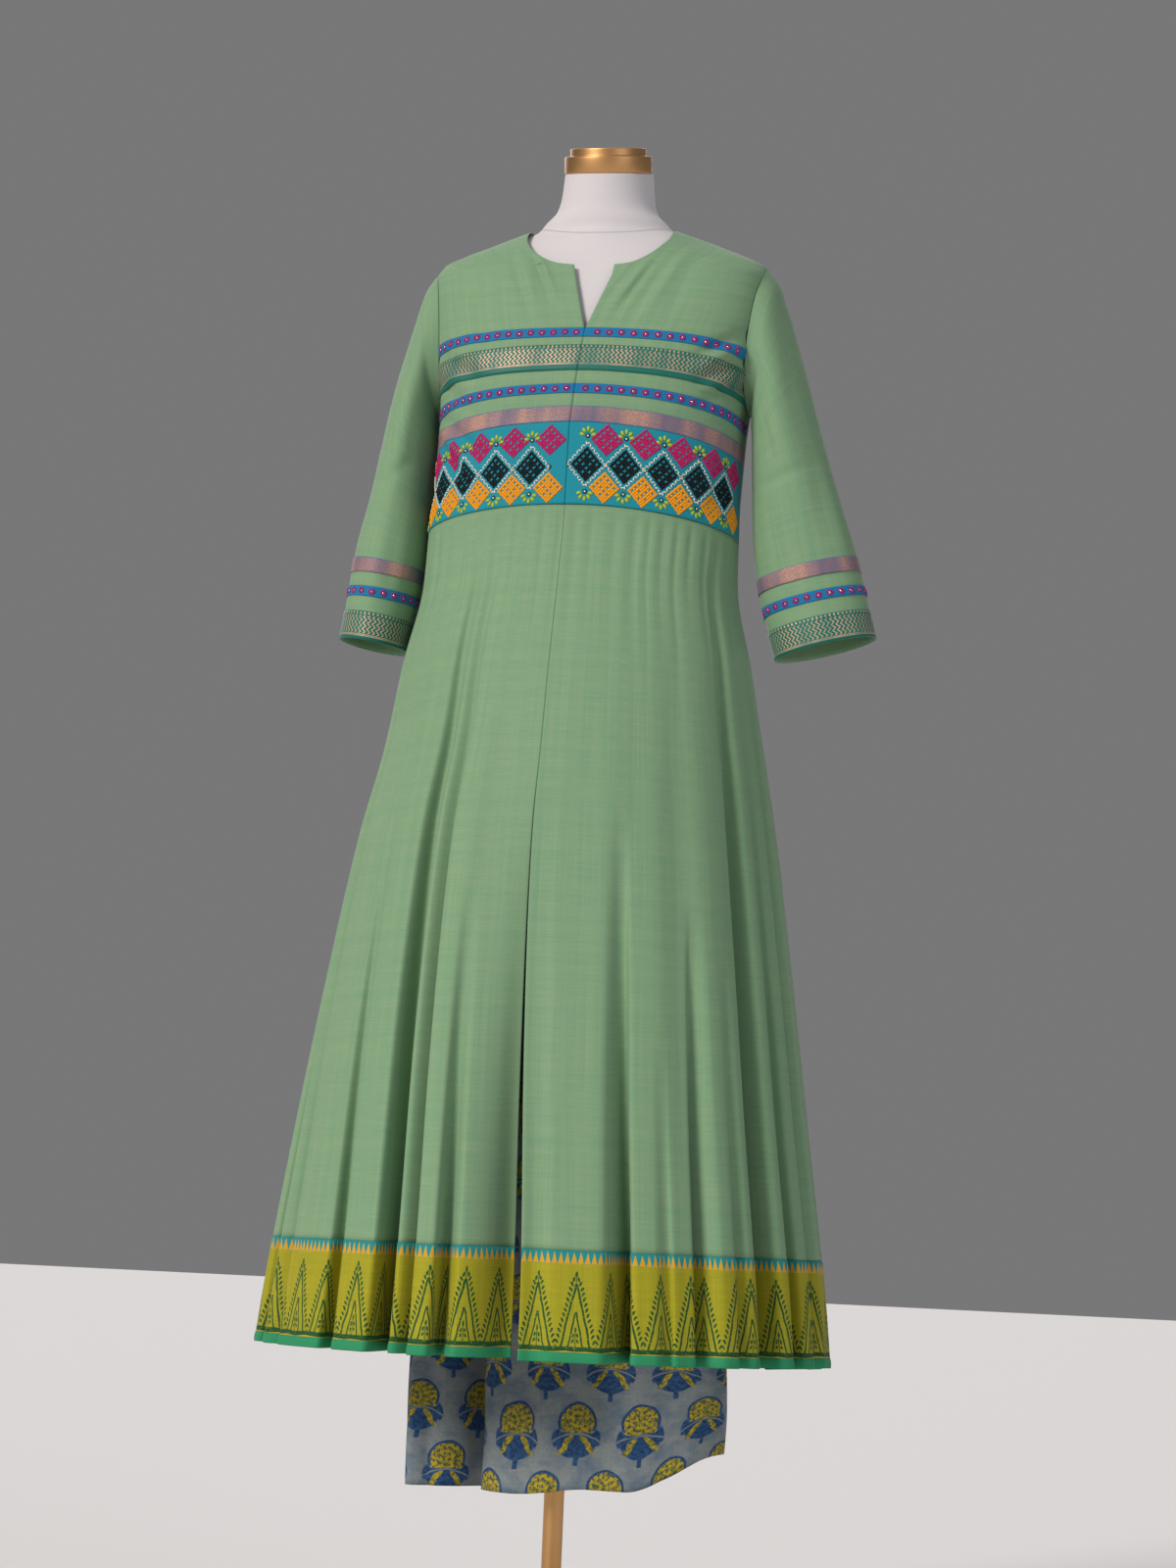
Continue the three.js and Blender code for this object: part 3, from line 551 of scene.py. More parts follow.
# %% [markdown]
# ## Brass and painted steel
# Dress forms have metal fittings. The cap and the pole are brass tube and sheet that was brushed with a fine
# abrasive and lacquered. Its scratches are too fine to see one by one, so they show only as a wide, soft, warm
# highlight, which is a metal with a roughness of 0.4. The hub and the base are steel under satin paint: not a
# metal to the eye any more, but a dark coat with a broad dull gloss.
# %% Metals
BRASS, _, _ = finish("brushed brass", Roughness=0.4, Metallic=1.0, Base_Color=srgb("#cf9f6a"))
STEEL, _, _ = finish("painted steel", Roughness=0.45, Metallic=0.0, Base_Color=srgb("#3c3a38"))
print("metals:", BRASS.name, "and", STEEL.name)

# %% [markdown]
# ## Neck cap
# Each fitting was turned on a lathe or spun from sheet, so it is made the same way here. Half of its outline, as
# pairs of radius and height in millimetres, is spun once round the axis. Two cylinders would do for a rough shape,
# but one outline gives the step and the rim in a single piece. The sharp edges are then bevelled, because a real
# edge is never quite sharp and the small round catches the light. The cap closes the form's neck, which is cut
# off at a slant, so it is tilted to match.
# %% Turned metal, and the neck cap
# Edges that turn by more than this, in radians, are sharp.
SHARP_TURN = 0.5


def turned(name, outline, material, node, steps=96, bevel=0.6):
    """An outline of (radius, height) in millimetres spun round z, with its edges rounded."""
    bm = bmesh.new()
    verts = [bm.verts.new((radius * MM, 0, height * MM)) for radius, height in outline]
    edges = [bm.edges.new(pair) for pair in zip(verts, verts[1:])]
    bmesh.ops.spin(
        bm, geom=verts + edges, cent=(0, 0, 0), axis=(0, 0, 1), angle=2 * math.pi, steps=steps, use_merge=True
    )
    bmesh.ops.remove_doubles(bm, verts=bm.verts, dist=1e-6)
    bmesh.ops.recalc_face_normals(bm, faces=bm.faces)
    sharp = [edge for edge in bm.edges if edge.is_manifold and edge.calc_face_angle() > SHARP_TURN]
    bmesh.ops.bevel(
        bm, geom=sharp, offset=bevel * MM, affect="EDGES", segments=3, profile=0.5, material=-1
    )
    mesh = bpy.data.meshes.new(name)
    bm.to_mesh(mesh)
    bm.free()
    item = add_object(name, mesh, material)
    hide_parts(node)
    return item


# Where the neck is cut off, and its slant.
NECK_CENTRE_Y = -8
NECK_TOP = 1668
CAP_TILT = math.radians(14.5)
CAP_LIFT = 0.3
CAP_OUTLINE = [(0, 0), (49.5, 0), (49.5, 19), (43, 19.4), (43, 28), (0, 28)]
cap = turned("brass_neck_cap", CAP_OUTLINE, BRASS, "neck_cap", bevel=1.2)
tilt = Matrix.Translation((0, NECK_CENTRE_Y * MM, NECK_TOP * MM)) @ Matrix.Rotation(CAP_TILT, 4, "X")
cap.data.transform(tilt @ Matrix.Translation((0, 0, CAP_LIFT * MM)))
print("neck cap:", len(cap.data.polygons), "faces")

# %% [markdown]
# ## Pole, hub and base
# A round pole carries the form. It stands in a cast hub on a heavy round base, which keeps the stand from
# tipping. All three are turned like the cap. The photograph ends above the base, so a plain round one was chosen,
# as such stands usually have.
# %% Pole, hub and base
POLE_OUTLINE = [(0, 22.6), (11, 22.6), (11, 879.7), (0, 879.7)]
HUB_OUTLINE = [(0, 12.3), (32, 12.3), (32, 24), (27, 33), (20, 41), (18, 50.3), (11.4, 50.3)]
HUB_OUTLINE += [(11.4, 22.3), (0, 22.3)]
BASE_OUTLINE = [(0, 0), (190, 0), (190, 9), (187, 12), (0, 12)]
turned("brass_pole", POLE_OUTLINE, BRASS, "stand_pole", 48)
turned("steel_hub", HUB_OUTLINE, STEEL, "stand_hub", bevel=1.0)
turned("steel_base", BASE_OUTLINE, STEEL, "stand_base", steps=128)
print("stand: pole, hub and base")

# %% [markdown]
# ## Jersey cover
# The form is padded and covered with white cotton jersey, a fine knit that stretches over every curve. Its loops
# are too small to see, so to the eye it is a smooth, very matt white. One thing does show: the seam where the neck
# piece joins the body, a thin greyer line that dips in front. It is painted as a line in the colour, because as
# geometry it would be a tenth of a millimetre high.
# %% Jersey
NECK_SEAM_HEIGHT, NECK_SEAM_WIDTH, NECK_SEAM_DIP = 1587, 1.4, 2.6
JERSEY_WHITE, SEAM_GREY = srgb("#cbc6c9"), srgb("#a8a3a6")
JERSEY, tree, shader = finish("white jersey", Roughness=0.9, Sheen_Weight=0.15, Base_Color=JERSEY_WHITE)
place = add_node(tree, "ShaderNodeTexCoord").outputs["Object"]
split = add_node(tree, "ShaderNodeSeparateXYZ", {0: place})
sideways, height = Pattern(tree, split.outputs[0]), Pattern(tree, split.outputs[2])
above_seam = height - NECK_SEAM_HEIGHT * MM - sideways * sideways * NECK_SEAM_DIP
seam = (abs(above_seam) - NECK_SEAM_WIDTH * MM / 2) * 1000
paint(tree, shader, seam.shown(0.3).over(JERSEY_WHITE, SEAM_GREY))
print("cover:", JERSEY.name)

# %% [markdown]
# ## Dress form
# The form is a torso without arms or head, from the neck to the hips. It could be sculpted, but under a garment
# only its measures count, so it uses the same kind of levels as the kurti. One closed grid runs round it from the
# cut of the neck to the hips, and its two open ends are then filled.
# %% Dress form
FORM = [
    (1668, 50, 58, 42, 0, 2.0),
    (1650, 51.5, 57, 45, 0, 2.0),
    (1635, 53.5, 56, 48, 0, 2.0),
    (1621, 58.5, 55, 48, 0, 2.0),
    (1610, 69, 55, 46, 0, 2.0),
    (1597.8, 82, 54, 43, 0, 1.8),
    (1589.8, 108, 58, 47, 0, 1.5),
    (1580.8, 133, 65, 52, 0, 1.55),
    (1565.8, 168, 73, 60, 0, 1.7),
    (1553.5, 181, 80, 67, 0, 2.1),
    (1535, 176, 90, 76, 0, 2.6),
    (1500, 168, 101, 84, 0, 2.6),
    (1463, 160, 110, 87, 0, 2.5),
    (1400, 151, 119, 86, 0, 2.3),
    (1340, 142, 114, 82, 0, 2.2),
    (1270, 124, 97, 78, 0, 2.1),
    (1210, 116, 88, 78, 0, 2.1),
    (1190, 118, 88, 80, 0, 2.1),
    (1155, 124, 91, 86, 0, 2.1),
    (1080, 147, 100, 106, 0, 2.1),
    (1000, 163, 108, 118, 0, 2.1),
    (930, 158, 105, 112, 0, 2.1),
    (880, 148, 97, 100, 0, 2.1),
]
form = Sections(FORM)
FORM_TOP_LEVELS, FORM_LOW_LEVELS = np.linspace(1668, 1540, 60), np.linspace(1536, 880, 90)
NECK_TILT_FROM, NECK_TILT_OVER = 1640, 28
around = np.linspace(-180, 180, 129)
at, z = np.meshgrid(around, np.concatenate([FORM_TOP_LEVELS, FORM_LOW_LEVELS]))
points = form.point(at, z)
tilted = np.clip((z - NECK_TILT_FROM) / NECK_TILT_OVER, 0, 1) * (points[..., 1] - NECK_CENTRE_Y)
points[..., 2] += tilted * math.tan(CAP_TILT)
mesh = grid_mesh("form_skin", Cloth(points, closed=True))
bm = bmesh.new()
bm.from_mesh(mesh)
bmesh.ops.holes_fill(bm, edges=[edge for edge in bm.edges if edge.is_boundary])
bm.to_mesh(mesh)
bm.free()
form_skin = add_object("form_skin", mesh, JERSEY)
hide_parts("form_torso")
print("form skin:", len(mesh.polygons), "faces")

# %% [markdown]
# ## Bodice: where its edges run
# The bodice is the upper part of the kurti. It has two fronts, which meet at the centre, and one back. On a table
# a cutter would mark three edges on each front: the neckline with its notch, the centre seam, and the armhole.
# Here the same edges are marked on the surface that the table of levels gives. The cloth's threads also hang a
# little lower at the sides than in the middle, because the bust lifts the front, so `side_drop` lowers them.
# %% Edges of the bodice
# The two front pieces: height, left edge and right edge from the neckline to the yoke seam.
FRONT_EDGE = [
    (1600, -83, 83),
    (1583, -81, 81.6),
    (1568, -73, 74.8),
    (1557, -62.6, 65.9),
    (1548, -47.9, 53.5),
    (1544, -36.7, 44),
    (1541.5, -17.4, 27.8),
    (1529, -14.5, 26.5),
    (1463, 1.85, 2.15),
    (1357.5, -8.15, -7.85),
    (1268, -11.05, -10.75),
]
# How much lower the threads hang at the side seams, at a few heights.
SIDE_DROP = [(1490, 0), (1465, 3), (1400.5, 9.5), (1357.5, 13), (1268, 19)]
# Heights of the armhole's two ends, half its opening from front to back, and the gap of its seam.
SHOULDER_TIP, UNDERARM, ARMHOLE_DEPTH, ARMHOLE_GAP = 1557, 1391, 62, 0.5
# The neckline's highest point, the notch's upper corners, the yoke's seam, and how far the neckline dips behind.
NECK_POINT = 1600
NOTCH_TOP = 1541.5
YOKE_BOTTOM = 1268
BACK_NECK_DROP = 12
# The armhole and a front's inner edge lie at most so many degrees forward of the side seam.
ARMHOLE_WITHIN, INNER_EDGE_WITHIN = 70, 125
edge_rows = list(zip(*FRONT_EDGE))
side_drop = curve(*zip(*SIDE_DROP))


def bodice_point(at, level):
    """A point of the front; its level hangs lower towards the side seams."""
    return dress.point(at, level - side_drop(level) * np.sin(np.radians(at)) ** 2)


def armhole_depth(z):
    """Half the armhole's opening from front to back: an upright oval from shoulder tip to underarm."""
    middle, half = (SHOULDER_TIP + UNDERARM) / 2, (SHOULDER_TIP - UNDERARM) / 2
    return ARMHOLE_DEPTH * np.sqrt(np.maximum(0, 1 - ((z - middle) / half) ** 2))


def armhole_turn(level, point):
    """Degrees from the side seam at which each level meets the armhole."""

    def proud(turned_by):
        found = point(90 - turned_by, level)
        return np.abs(found[..., 1]) - armhole_depth(found[..., 2]) + 0.01

    zero = np.zeros_like(level)
    return np.where(proud(zero) >= 0, 0, crossing(proud, zero, zero + ARMHOLE_WITHIN))


def neck_edge(side, level):
    """x of a front's inner edge: a smooth neckline above the notch, straight edges below."""
    column = edge_rows[2 if side == "right" else 1]
    above = sum(1 for height in edge_rows[0] if height >= NOTCH_TOP)
    round_part = curve(edge_rows[0][:above], column[:above])(level)
    straight = np.interp(level, edge_rows[0][::-1], column[::-1])
    return np.where(level >= NOTCH_TOP, round_part, straight)


print("bodice: from", UNDERARM, "to", SHOULDER_TIP, "mm at the armholes")

# %% [markdown]
# ## Bodice: its creases
# A bodice on a form is never smooth. On the real one, creases run from the notch's corners up to the shoulders,
# where the weight of the skirt hangs, others gather at the armholes, and the widest are soft hollows below the
# bust. Each row is one of them, in the front view: x and z of both ends, then the width and depth in millimetres.
# The back isn't in the photograph, and it gets the same kinds of crease, in another order.
# %% Creases of the bodice
FRONT_CREASES = [
    (-76, 1580, -40, 1496, 4, -2.6),
    (-68, 1572, -33, 1502, 4, 2.6),
    (-92, 1562, -60, 1475, 6, -2.2),
    (-83, 1560, -50, 1480, 5, 1.8),
    (70, 1576, 14, 1490, 4, -3.2),
    (63, 1566, 20, 1502, 4, 3.4),
    (82, 1568, 34, 1480, 5, -2.8),
    (76, 1560, 34, 1496, 4, 2.4),
    (96, 1565, 50, 1474, 7, -2.4),
    (106, 1562, 66, 1480, 6, 1.8),
    (120, 1560, 88, 1470, 9, -1.8),
    (-132, 1545, -108, 1440, 10, -2.0),
    (-146, 1520, -126, 1450, 8, 1.6),
    (172, 1470, 118, 1432, 6, -3.4),
    (172, 1456, 126, 1424, 5, 3.6),
    (174, 1444, 126, 1408, 5, -3.2),
    (172, 1430, 132, 1398, 5, 3.2),
    (172, 1418, 130, 1384, 6, -2.8),
    (-172, 1448, -118, 1412, 7, -3.0),
    (-174, 1432, -126, 1398, 6, 3.0),
    (-175, 1415, -126, 1376, 6, -3.0),
    (-170, 1380, -104, 1318, 7, -3.2),
    (-172, 1366, -116, 1306, 6, 3.4),
    (-168, 1350, -122, 1285, 6, -3.0),
    (-150, 1330, -140, 1262, 5, -2.4),
    (160, 1330, 138, 1262, 8, -2.2),
    (-40, 1440, -60, 1280, 22, -1.6),
    (50, 1440, 60, 1290, 26, -1.6),
]
BACK_CREASES = [
    (-120, 1545, -60, 1480, 12, -1.8),
    (118, 1540, 66, 1470, 12, -1.6),
    (-165, 1450, -110, 1400, 9, -2.2),
    (163, 1440, 112, 1392, 9, -2.2),
    (-150, 1380, -100, 1290, 10, -1.8),
    (146, 1376, 92, 1300, 11, -1.8),
    (-20, 1480, -26, 1290, 12, -2.4),
    (24, 1460, 30, 1280, 13, -2.4),
    (-60, 1400, -64, 1256, 9, -2.2),
    (66, 1390, 70, 1256, 9, -2.2),
]
print("creases:", len(FRONT_CREASES), "in front and", len(BACK_CREASES), "behind")

# %% [markdown]
# ## The two fronts
# A front could be cut from a finished body shape with a boolean, but that leaves ragged faces along the cut. It
# is better to let the grid's own edges be the cloth's edges. Each row of the grid runs from the inner edge to the
# armhole or the side seam, evenly spaced, so the threads end cleanly at every seam. Rows are closer together at
# the neckline, where the edge turns fast.
# %% Bodice fronts
# Half the gap of the side seams, and the share of a row, as 1 in 12, over which creases fade in at an edge.
SEAM_SHIFT = 0.15
EDGE_FADE = 12
NECK_LEVELS = NOTCH_TOP + (NECK_POINT - NOTCH_TOP) * np.linspace(1, 0, 34) ** 1.5
CHEST_LEVELS = np.concatenate([np.linspace(NOTCH_TOP - 1.5, 1463, 26), np.linspace(1460, YOKE_BOTTOM, 62)])
FRONT_LEVELS = np.concatenate([NECK_LEVELS, CHEST_LEVELS])


def front_cloth(side, levels, columns=84, point=bodice_point):
    """A stretch of one front over the given levels, from its inner edge to the armhole or side seam."""
    mirror = SIDES[side]
    edge = neck_edge(side, levels)
    outer = armhole_turn(levels, point)
    zero = np.zeros_like(levels)
    inner = crossing(
        lambda turned_by: mirror * (edge - point(mirror * (90 - turned_by), levels)[..., 0]),
        zero,
        zero + INNER_EDGE_WITHIN,
    )
    share = np.linspace(0, 1, columns)
    turned_by = inner[:, None] + (outer - inner)[:, None] * share
    if mirror < 0:
        turned_by = turned_by[:, ::-1]
    points = point(mirror * (90 - turned_by), np.broadcast_to(levels[:, None], turned_by.shape))
    points[..., 1] -= SEAM_SHIFT
    fade = np.minimum(smooth(share * EDGE_FADE), 1) * np.ones_like(points[..., 0])
    if mirror < 0:
        fade = fade[:, ::-1]
    depth = crease_depth(points[..., 0], points[..., 2], FRONT_CREASES)
    points += normals_of(points) * (depth * fade)[..., None]
    return Cloth(points, zero=0.0 if mirror > 0 else 1.0)


for side in SIDES:
    cloth = front_cloth(side, FRONT_LEVELS)
    words = measured(cloth, held="hung", rests_on=["form_skin"])
    name = f"bodice_front_{side}"
    sheet(f"{name}_cloth", cloth, COTTON, replaces=[name], slot="green_cotton", **words)
    print(name, words["flat"], "m")

# %% [markdown]
# ## The back
# The back is one piece from armhole to armhole, so its grid simply runs the other way round the body. Its
# neckline is a shallow curve: the upper rows dip in the middle, and the dip fades out down to the shoulder tips.
# Its creases fade out towards both edges, so that the side seams and armholes stay true.
# %% Bodice back
levels = np.concatenate([np.linspace(NECK_POINT, 1540, 24), np.linspace(1536, 1249, 70)])
outer = armhole_turn(levels, lambda at, level: dress.point(180 - at, level))
share = np.linspace(0, 1, 150)
at = 90 + outer[:, None] + (180 - 2 * outer)[:, None] * share
dip = np.clip((levels - SHOULDER_TIP) / (NECK_POINT - SHOULDER_TIP), 0, 1)[:, None] * BACK_NECK_DROP
points = dress.point(at, levels[:, None] - dip * np.abs(np.cos(np.radians(at))) ** 0.7)
points[..., 1] += SEAM_SHIFT
depth = crease_depth(points[..., 0], points[..., 2], BACK_CREASES)
points += normals_of(points) * (depth * smooth(EDGE_FADE * share) * smooth(EDGE_FADE * (1 - share)))[..., None]
back = Cloth(points)
words = measured(back, held="hung", rests_on=["form_skin"])
sheet("bodice_back_cloth", back, COTTON, replaces=["bodice_back"], slot="green_cotton", **words)
print("bodice_back", words["flat"], "m")

# %% [markdown]
# ## Sleeves: their rings
# A set-in sleeve is a tube whose upper end is sewn to the armhole. On the empty form it hangs straight down
# beside the body, flattened a little, and ends below the elbow. A cylinder that is bent would pinch at the bend,
# so the sleeve is a stack of slanted rings instead. Each row is a ring: the outer end's x and z, the inner end's
# x and z, and half the depth. The armhole is ring 0, ring 7 is the top of the cuff, and ring 8 is the hem.
# %% Rings and creases of the sleeves
SLEEVES = {
    "right": [
        (200, 1538, 176, 1387, 63),
        (213, 1503, 174.5, 1374, 64),
        (227, 1458, 175.5, 1360, 64),
        (241, 1410, 176, 1342, 62),
        (256, 1358, 177, 1314, 59),
        (275, 1297, 179, 1262, 53),
        (296.5, 1232, 186, 1203, 47),
        (320, 1143, 210, 1115, 44),
    ],
    "left": [
        (201, 1536, 183, 1387, 63),
        (213, 1500, 183.5, 1374, 64),
        (227, 1450, 184, 1360, 64),
        (240, 1398, 185, 1340, 63),
        (250, 1348, 187, 1312, 61),
        (260, 1290, 189, 1258, 59),
        (273, 1223, 193, 1210, 58),
        (286, 1131, 209, 1119, 57),
    ],
}
# The cuff's length, and each cuff band's upper and lower edge above the hem.
CUFF = 92
CUFF_BANDS = {"cuff_copper": (92, 73), "cuff_ribbon": (57, 46), "cuff_zari": (30, 0)}
SLEEVE_CREASES = {
    "right": [
        (206, 1520, 240, 1330, 10, -2.2),
        (186, 1440, 206, 1300, 9, -2.4),
        (196, 1360, 232, 1290, 8, -2.0),
        (190, 1300, 246, 1325, 8, -1.8),
        (236, 1400, 268, 1250, 9, -1.8),
        (262, 1330, 296, 1190, 8, 1.2),
        (220, 1250, 244, 1150, 9, -1.4),
    ],
    "left": [
        (-206, 1515, -236, 1330, 10, -2.0),
        (-190, 1430, -208, 1290, 9, -2.2),
        (-198, 1330, -238, 1300, 8, -1.8),
        (-236, 1420, -256, 1250, 9, -1.8),
        (-212, 1280, -226, 1160, 9, -1.6),
        (-262, 1300, -270, 1180, 8, 1.2),
    ],
}
print("rings:", {side: len(rows) for side, rows in SLEEVES.items()})

# %% [markdown]
# ## Sleeves: from armhole to hem
# `sleeve_cloth` joins the rings with the smooth curves from above. Where it begins it must fit the armhole, and
# that is an oval drawn on the curved side of the bodice, not a flat ring. So the first stretch blends from the
# armhole's own edge into the rings, which is how a set-in sleeve eases away from its seam. Creases are read in
# the front view, once for the front half and, a little shifted, for the rear half.
# %% Sleeves
HEM_RING = 8
# Creases fade in below the armhole and out at the hem, and the rear half reads them a little shifted.
CREASE_RISE, CREASE_END, CREASE_FALL = 2, 8.6, 1.2
REAR_SHIFT_X, REAR_SHIFT_Z = 6, 20
FRONT_TO_REAR = 60


def armhole_ring(mirror, c, s):
    """The armhole's edge on the side of the bodice, for the cosine and sine of the way round it."""
    hole_z = (SHOULDER_TIP + UNDERARM) / 2 + c * (SHOULDER_TIP - UNDERARM) / 2
    hole_y = -ARMHOLE_DEPTH * s
    square = dress.square(hole_z)
    deep = np.where(hole_y < 0, dress.front(hole_z), dress.back(hole_z))
    reach = (1 - np.minimum(np.abs(hole_y) / deep, 1) ** square) ** (1 / square)
    hole_x = dress.shift(hole_z) + mirror * (dress.half(hole_z) * reach + ARMHOLE_GAP)
    return np.stack([hole_x, hole_y, hole_z], axis=-1)


def sleeve_cloth(side, start, end, rows, columns=129):
    """A stretch of a sleeve; start and end count rings from 0, the armhole, to 8, the hem."""
    mirror = SIDES[side]
    armhole_z = (SHOULDER_TIP, UNDERARM)
    first = [mirror * dress.point(90 * mirror, np.array(float(z)))[0] + ARMHOLE_GAP for z in armhole_z]
    table = [(first[0], SHOULDER_TIP, first[1], UNDERARM, ARMHOLE_DEPTH), *SLEEVES[side]]
    rings = range(HEM_RING + 1)
    outer_x, outer_z, inner_x, inner_z, depth = (curve(rings, column) for column in zip(*table))
    ring = np.linspace(start, end, rows)[:, None]
    theta = np.linspace(-np.pi, np.pi, columns)[None, :] * -mirror
    c, s = np.cos(theta), np.sin(theta)
    x = (outer_x(ring) + inner_x(ring)) / 2 + c * (outer_x(ring) - inner_x(ring)) / 2
    z = (outer_z(ring) + inner_z(ring)) / 2 + c * (outer_z(ring) - inner_z(ring)) / 2
    points = np.stack([mirror * x, -depth(ring) * s, z], axis=-1)
    weight = (np.clip(1 - ring, 0, 1) ** 2)[..., None]
    points = points * (1 - weight) + armhole_ring(mirror, c, s) * weight
    fade = smooth(ring * CREASE_RISE) * smooth((CREASE_END - ring) * CREASE_FALL)
    facing = smooth(0.5 - points[..., 1] / FRONT_TO_REAR)
    creases = SLEEVE_CREASES[side]
    front = crease_depth(points[..., 0], points[..., 2], creases) * facing
    shifted = (points[..., 0] + REAR_SHIFT_X, points[..., 2] + REAR_SHIFT_Z)
    rear = crease_depth(*shifted, creases) * (1 - facing)
    points += normals_of(points, True) * ((front + rear) * fade)[..., None]
    return Cloth(points, closed=True)


for side in SIDES:
    cloth = sleeve_cloth(side, 0, HEM_RING, 150)
    words = measured(cloth, held="hung", rests_on=["form_skin"])
    name = f"sleeve_{side}"
    sheet(f"{name}_cloth", cloth, COTTON, replaces=[name], slot="green_cotton", **words)
    print(name, words["flat"], "m")

# %% [markdown]
# ## Skirt: its folds, listed one by one
# The skirt is flared: it is cut much wider at the hem than at the yoke, and the extra cloth falls in folds. A
# cloth simulation would find folds of its own, but not the ones of this skirt, so each fold was read off the
# photograph and written down, and those behind were guessed in the same sizes. Angles are degrees round from the
# centre front. The folds open towards the hem, so their sizes are given there.
# %% Levels, slit and folds of the skirt
# The yoke seam's height at the sides, and how much higher it is in front.
WAIST_SEAM, WAIST_SEAM_LIFT = 1249, 19
# The slit: the height of its top, its direction, half its opening in degrees, and how far the left front turns in.
SLIT_TOP, SLIT_ANGLE, SLIT_HALF_GAP, SLIT_TURN_IN = 1007, 4.7, 0.8, 50
# The hem's height at the sides, its lift in front and its drop behind.
HEM_SIDE, HEM_FRONT_LIFT, HEM_BACK_DROP = 346, 5, 20
# Heights of the printed border and of the piping.
BORDER, PIPING = 104, 9
# The skirt's mean radius at the hem, and how far the left front's upper part swings round, in degrees.
HEM_RADIUS, LEFT_SWING = 300, 10
# The folds: direction, depth, half width and sideways slide at the hem, and the height where each begins.
FOLDS = [
    (-101.2, 43, 12, 11, 1130),
    (-89, 14, 9, -8, 900),
    (-76.5, 43, 12, -10, 1090),
    (-67, 15, 8, -9, 880),
    (-57.5, 62, 11, 28, 1230),
    (-37, 26, 8, -12, 960),
    (-23.3, 60, 9.5, -19, 1260),
    (-18.5, 48, 8, 13, 1240),
    (-9.5, 34, 8, -12, 860),
    (8, 6, 12, 0, 1120),
    (24.2, 48, 10, 26, 930),
    (34, 9, 7, 8, 700),
    (43.8, 46, 10, -22, 840),
    (53, 16, 8, -10, 780),
    (61.5, 56, 14, 6, 1260),
    (71, 20, 9, 10, 1150),
    (80.8, 42, 10, -18, 1160),
    (92, 14, 8, 8, 880),
    (102, 46, 12, 14, 1150),
    (113, 16, 9, -10, 860),
    (121.8, 52, 11, -18, 1170),
    (140, 44, 12, 16, 1090),
    (151, 15, 9, -9, 880),
    (160, 56, 11, 5, 1180),
    (179.8, 42, 12, -16, 1080),
    (190, 18, 9, 11, 960),
    (197.3, 54, 11, 18, 1180),
    (218.8, 48, 12, -15, 1100),
    (229, 18, 9, 12, 940),
    (237.2, 52, 11, 15, 1160),
    (249, 15, 9, -9, 880),
]
print("folds:", len(FOLDS))

# %% [markdown]
# ## Skirt: its gathers
# At the yoke seam the skirt is gathered: a thread is drawn through its edge until it fits, and small grooves run
# down from the stitches and fade out. Each row is one of them: direction, how far down it runs, width, and depth,
# which is negative for a groove, as for the creases. They could be one regular wave, but the real ones differ,
# and an even wave looks like corrugated card.
# %% Gathers and swells of the skirt
GATHERS = [
    (-55, 300, 6, -3.0),
    (-46, 260, 5, -2.6),
    (-38.5, 330, 5, -2.6),
    (-12, 300, 5, -2.4),
    (-3, 180, 4, -1.6),
    (3.5, 240, 4, -2.0),
    (8.5, 320, 5, -2.4),
    (20, 340, 5, -2.4),
    (31, 300, 4, -2.4),
    (42, 320, 5, -2.6),
    (56, 280, 6, -2.6),
    (-31, 190, 5, -3.0),
    (-25.5, 150, 4, -2.4),
    (-17.3, 210, 6, -3.2),
    (-8, 90, 5, -1.2),
    (13.5, 170, 5, -2.8),
    (26.2, 230, 6, -3.2),
    (36.5, 200, 6, -3.0),
    (48, 140, 5, -2.4),
    (-45, 160, 5, -2.6),
    (-60, 200, 6, -2.8),
    (-76, 150, 6, -2.6),
    (64, 190, 6, -2.8),
    (78, 150, 5, -2.4),
    (98, 160, 6, -2.6),
    (112, 210, 6, -3.0),
    (127, 150, 5, -2.4),
    (139, 190, 6, -2.8),
    (153, 170, 5, -2.6),
    (168, 220, 6, -3.0),
    (184, 150, 5, -2.4),
    (197, 200, 6, -3.0),
    (211, 160, 5, -2.6),
    (226, 190, 6, -2.8),
    (243, 160, 6, -2.6),
    (257, 180, 5, -2.6),
]
# The share of their depth that they get, how far down they take to begin, and the skirt's mean radius up there.
GATHER_DEPTH = 0.6
GATHER_START = 22
YOKE_RADIUS = 180
# Slow swells of the cloth between the folds: waves round the skirt, phase in degrees, height.
SWELLS = [(7, 20, 2.0), (11, 75, 1.6), (17, 140, 1.3), (23, 200, 1.0), (31, 310, 0.7)]
SWELL_SHARE, SWELLS_FULL_AT = 0.9, 500
print("gathers:", len(GATHERS), "and swells:", len(SWELLS))

# %% [markdown]
# ## Skirt: one point of it
# The seam at the yoke and the hem aren't level: the seam rises in front, over the bust, and the hem hangs a
# little lower behind. Below the slit's top the two fronts move apart, and the left one turns in behind the right,
# so the printed pants show through the gap.
#
# `skirt_point` starts on the table's section and pushes the cloth in and along by the sum of all folds. A fold is
# a trough with a flat floor whose floor also slides sideways, under the cloth beside it. That slide is what makes
# a fold look like folded cloth instead of a dent.
# %% A point of the skirt
# How far the left front slides under the right one at the slit, and the step in degrees that gives the way along.
SLIT_TUCK = -5
TANGENT_STEP = 0.5
SLIT_REACH, SLIT_TUCK_REACH = 14, 7.5
FOLD_SQUARE, FOLD_GROWTH = 2.6, 1.2


def wrapped(at, centre):
    """Degrees from a direction, from -180 to 180."""
    return (at - centre + 180) % 360 - 180


def seam_height(at):
    """Height of the yoke seam, which rises in front."""
    facing = np.maximum(0, np.cos(np.radians(at)))
    return WAIST_SEAM + WAIST_SEAM_LIFT * facing**2


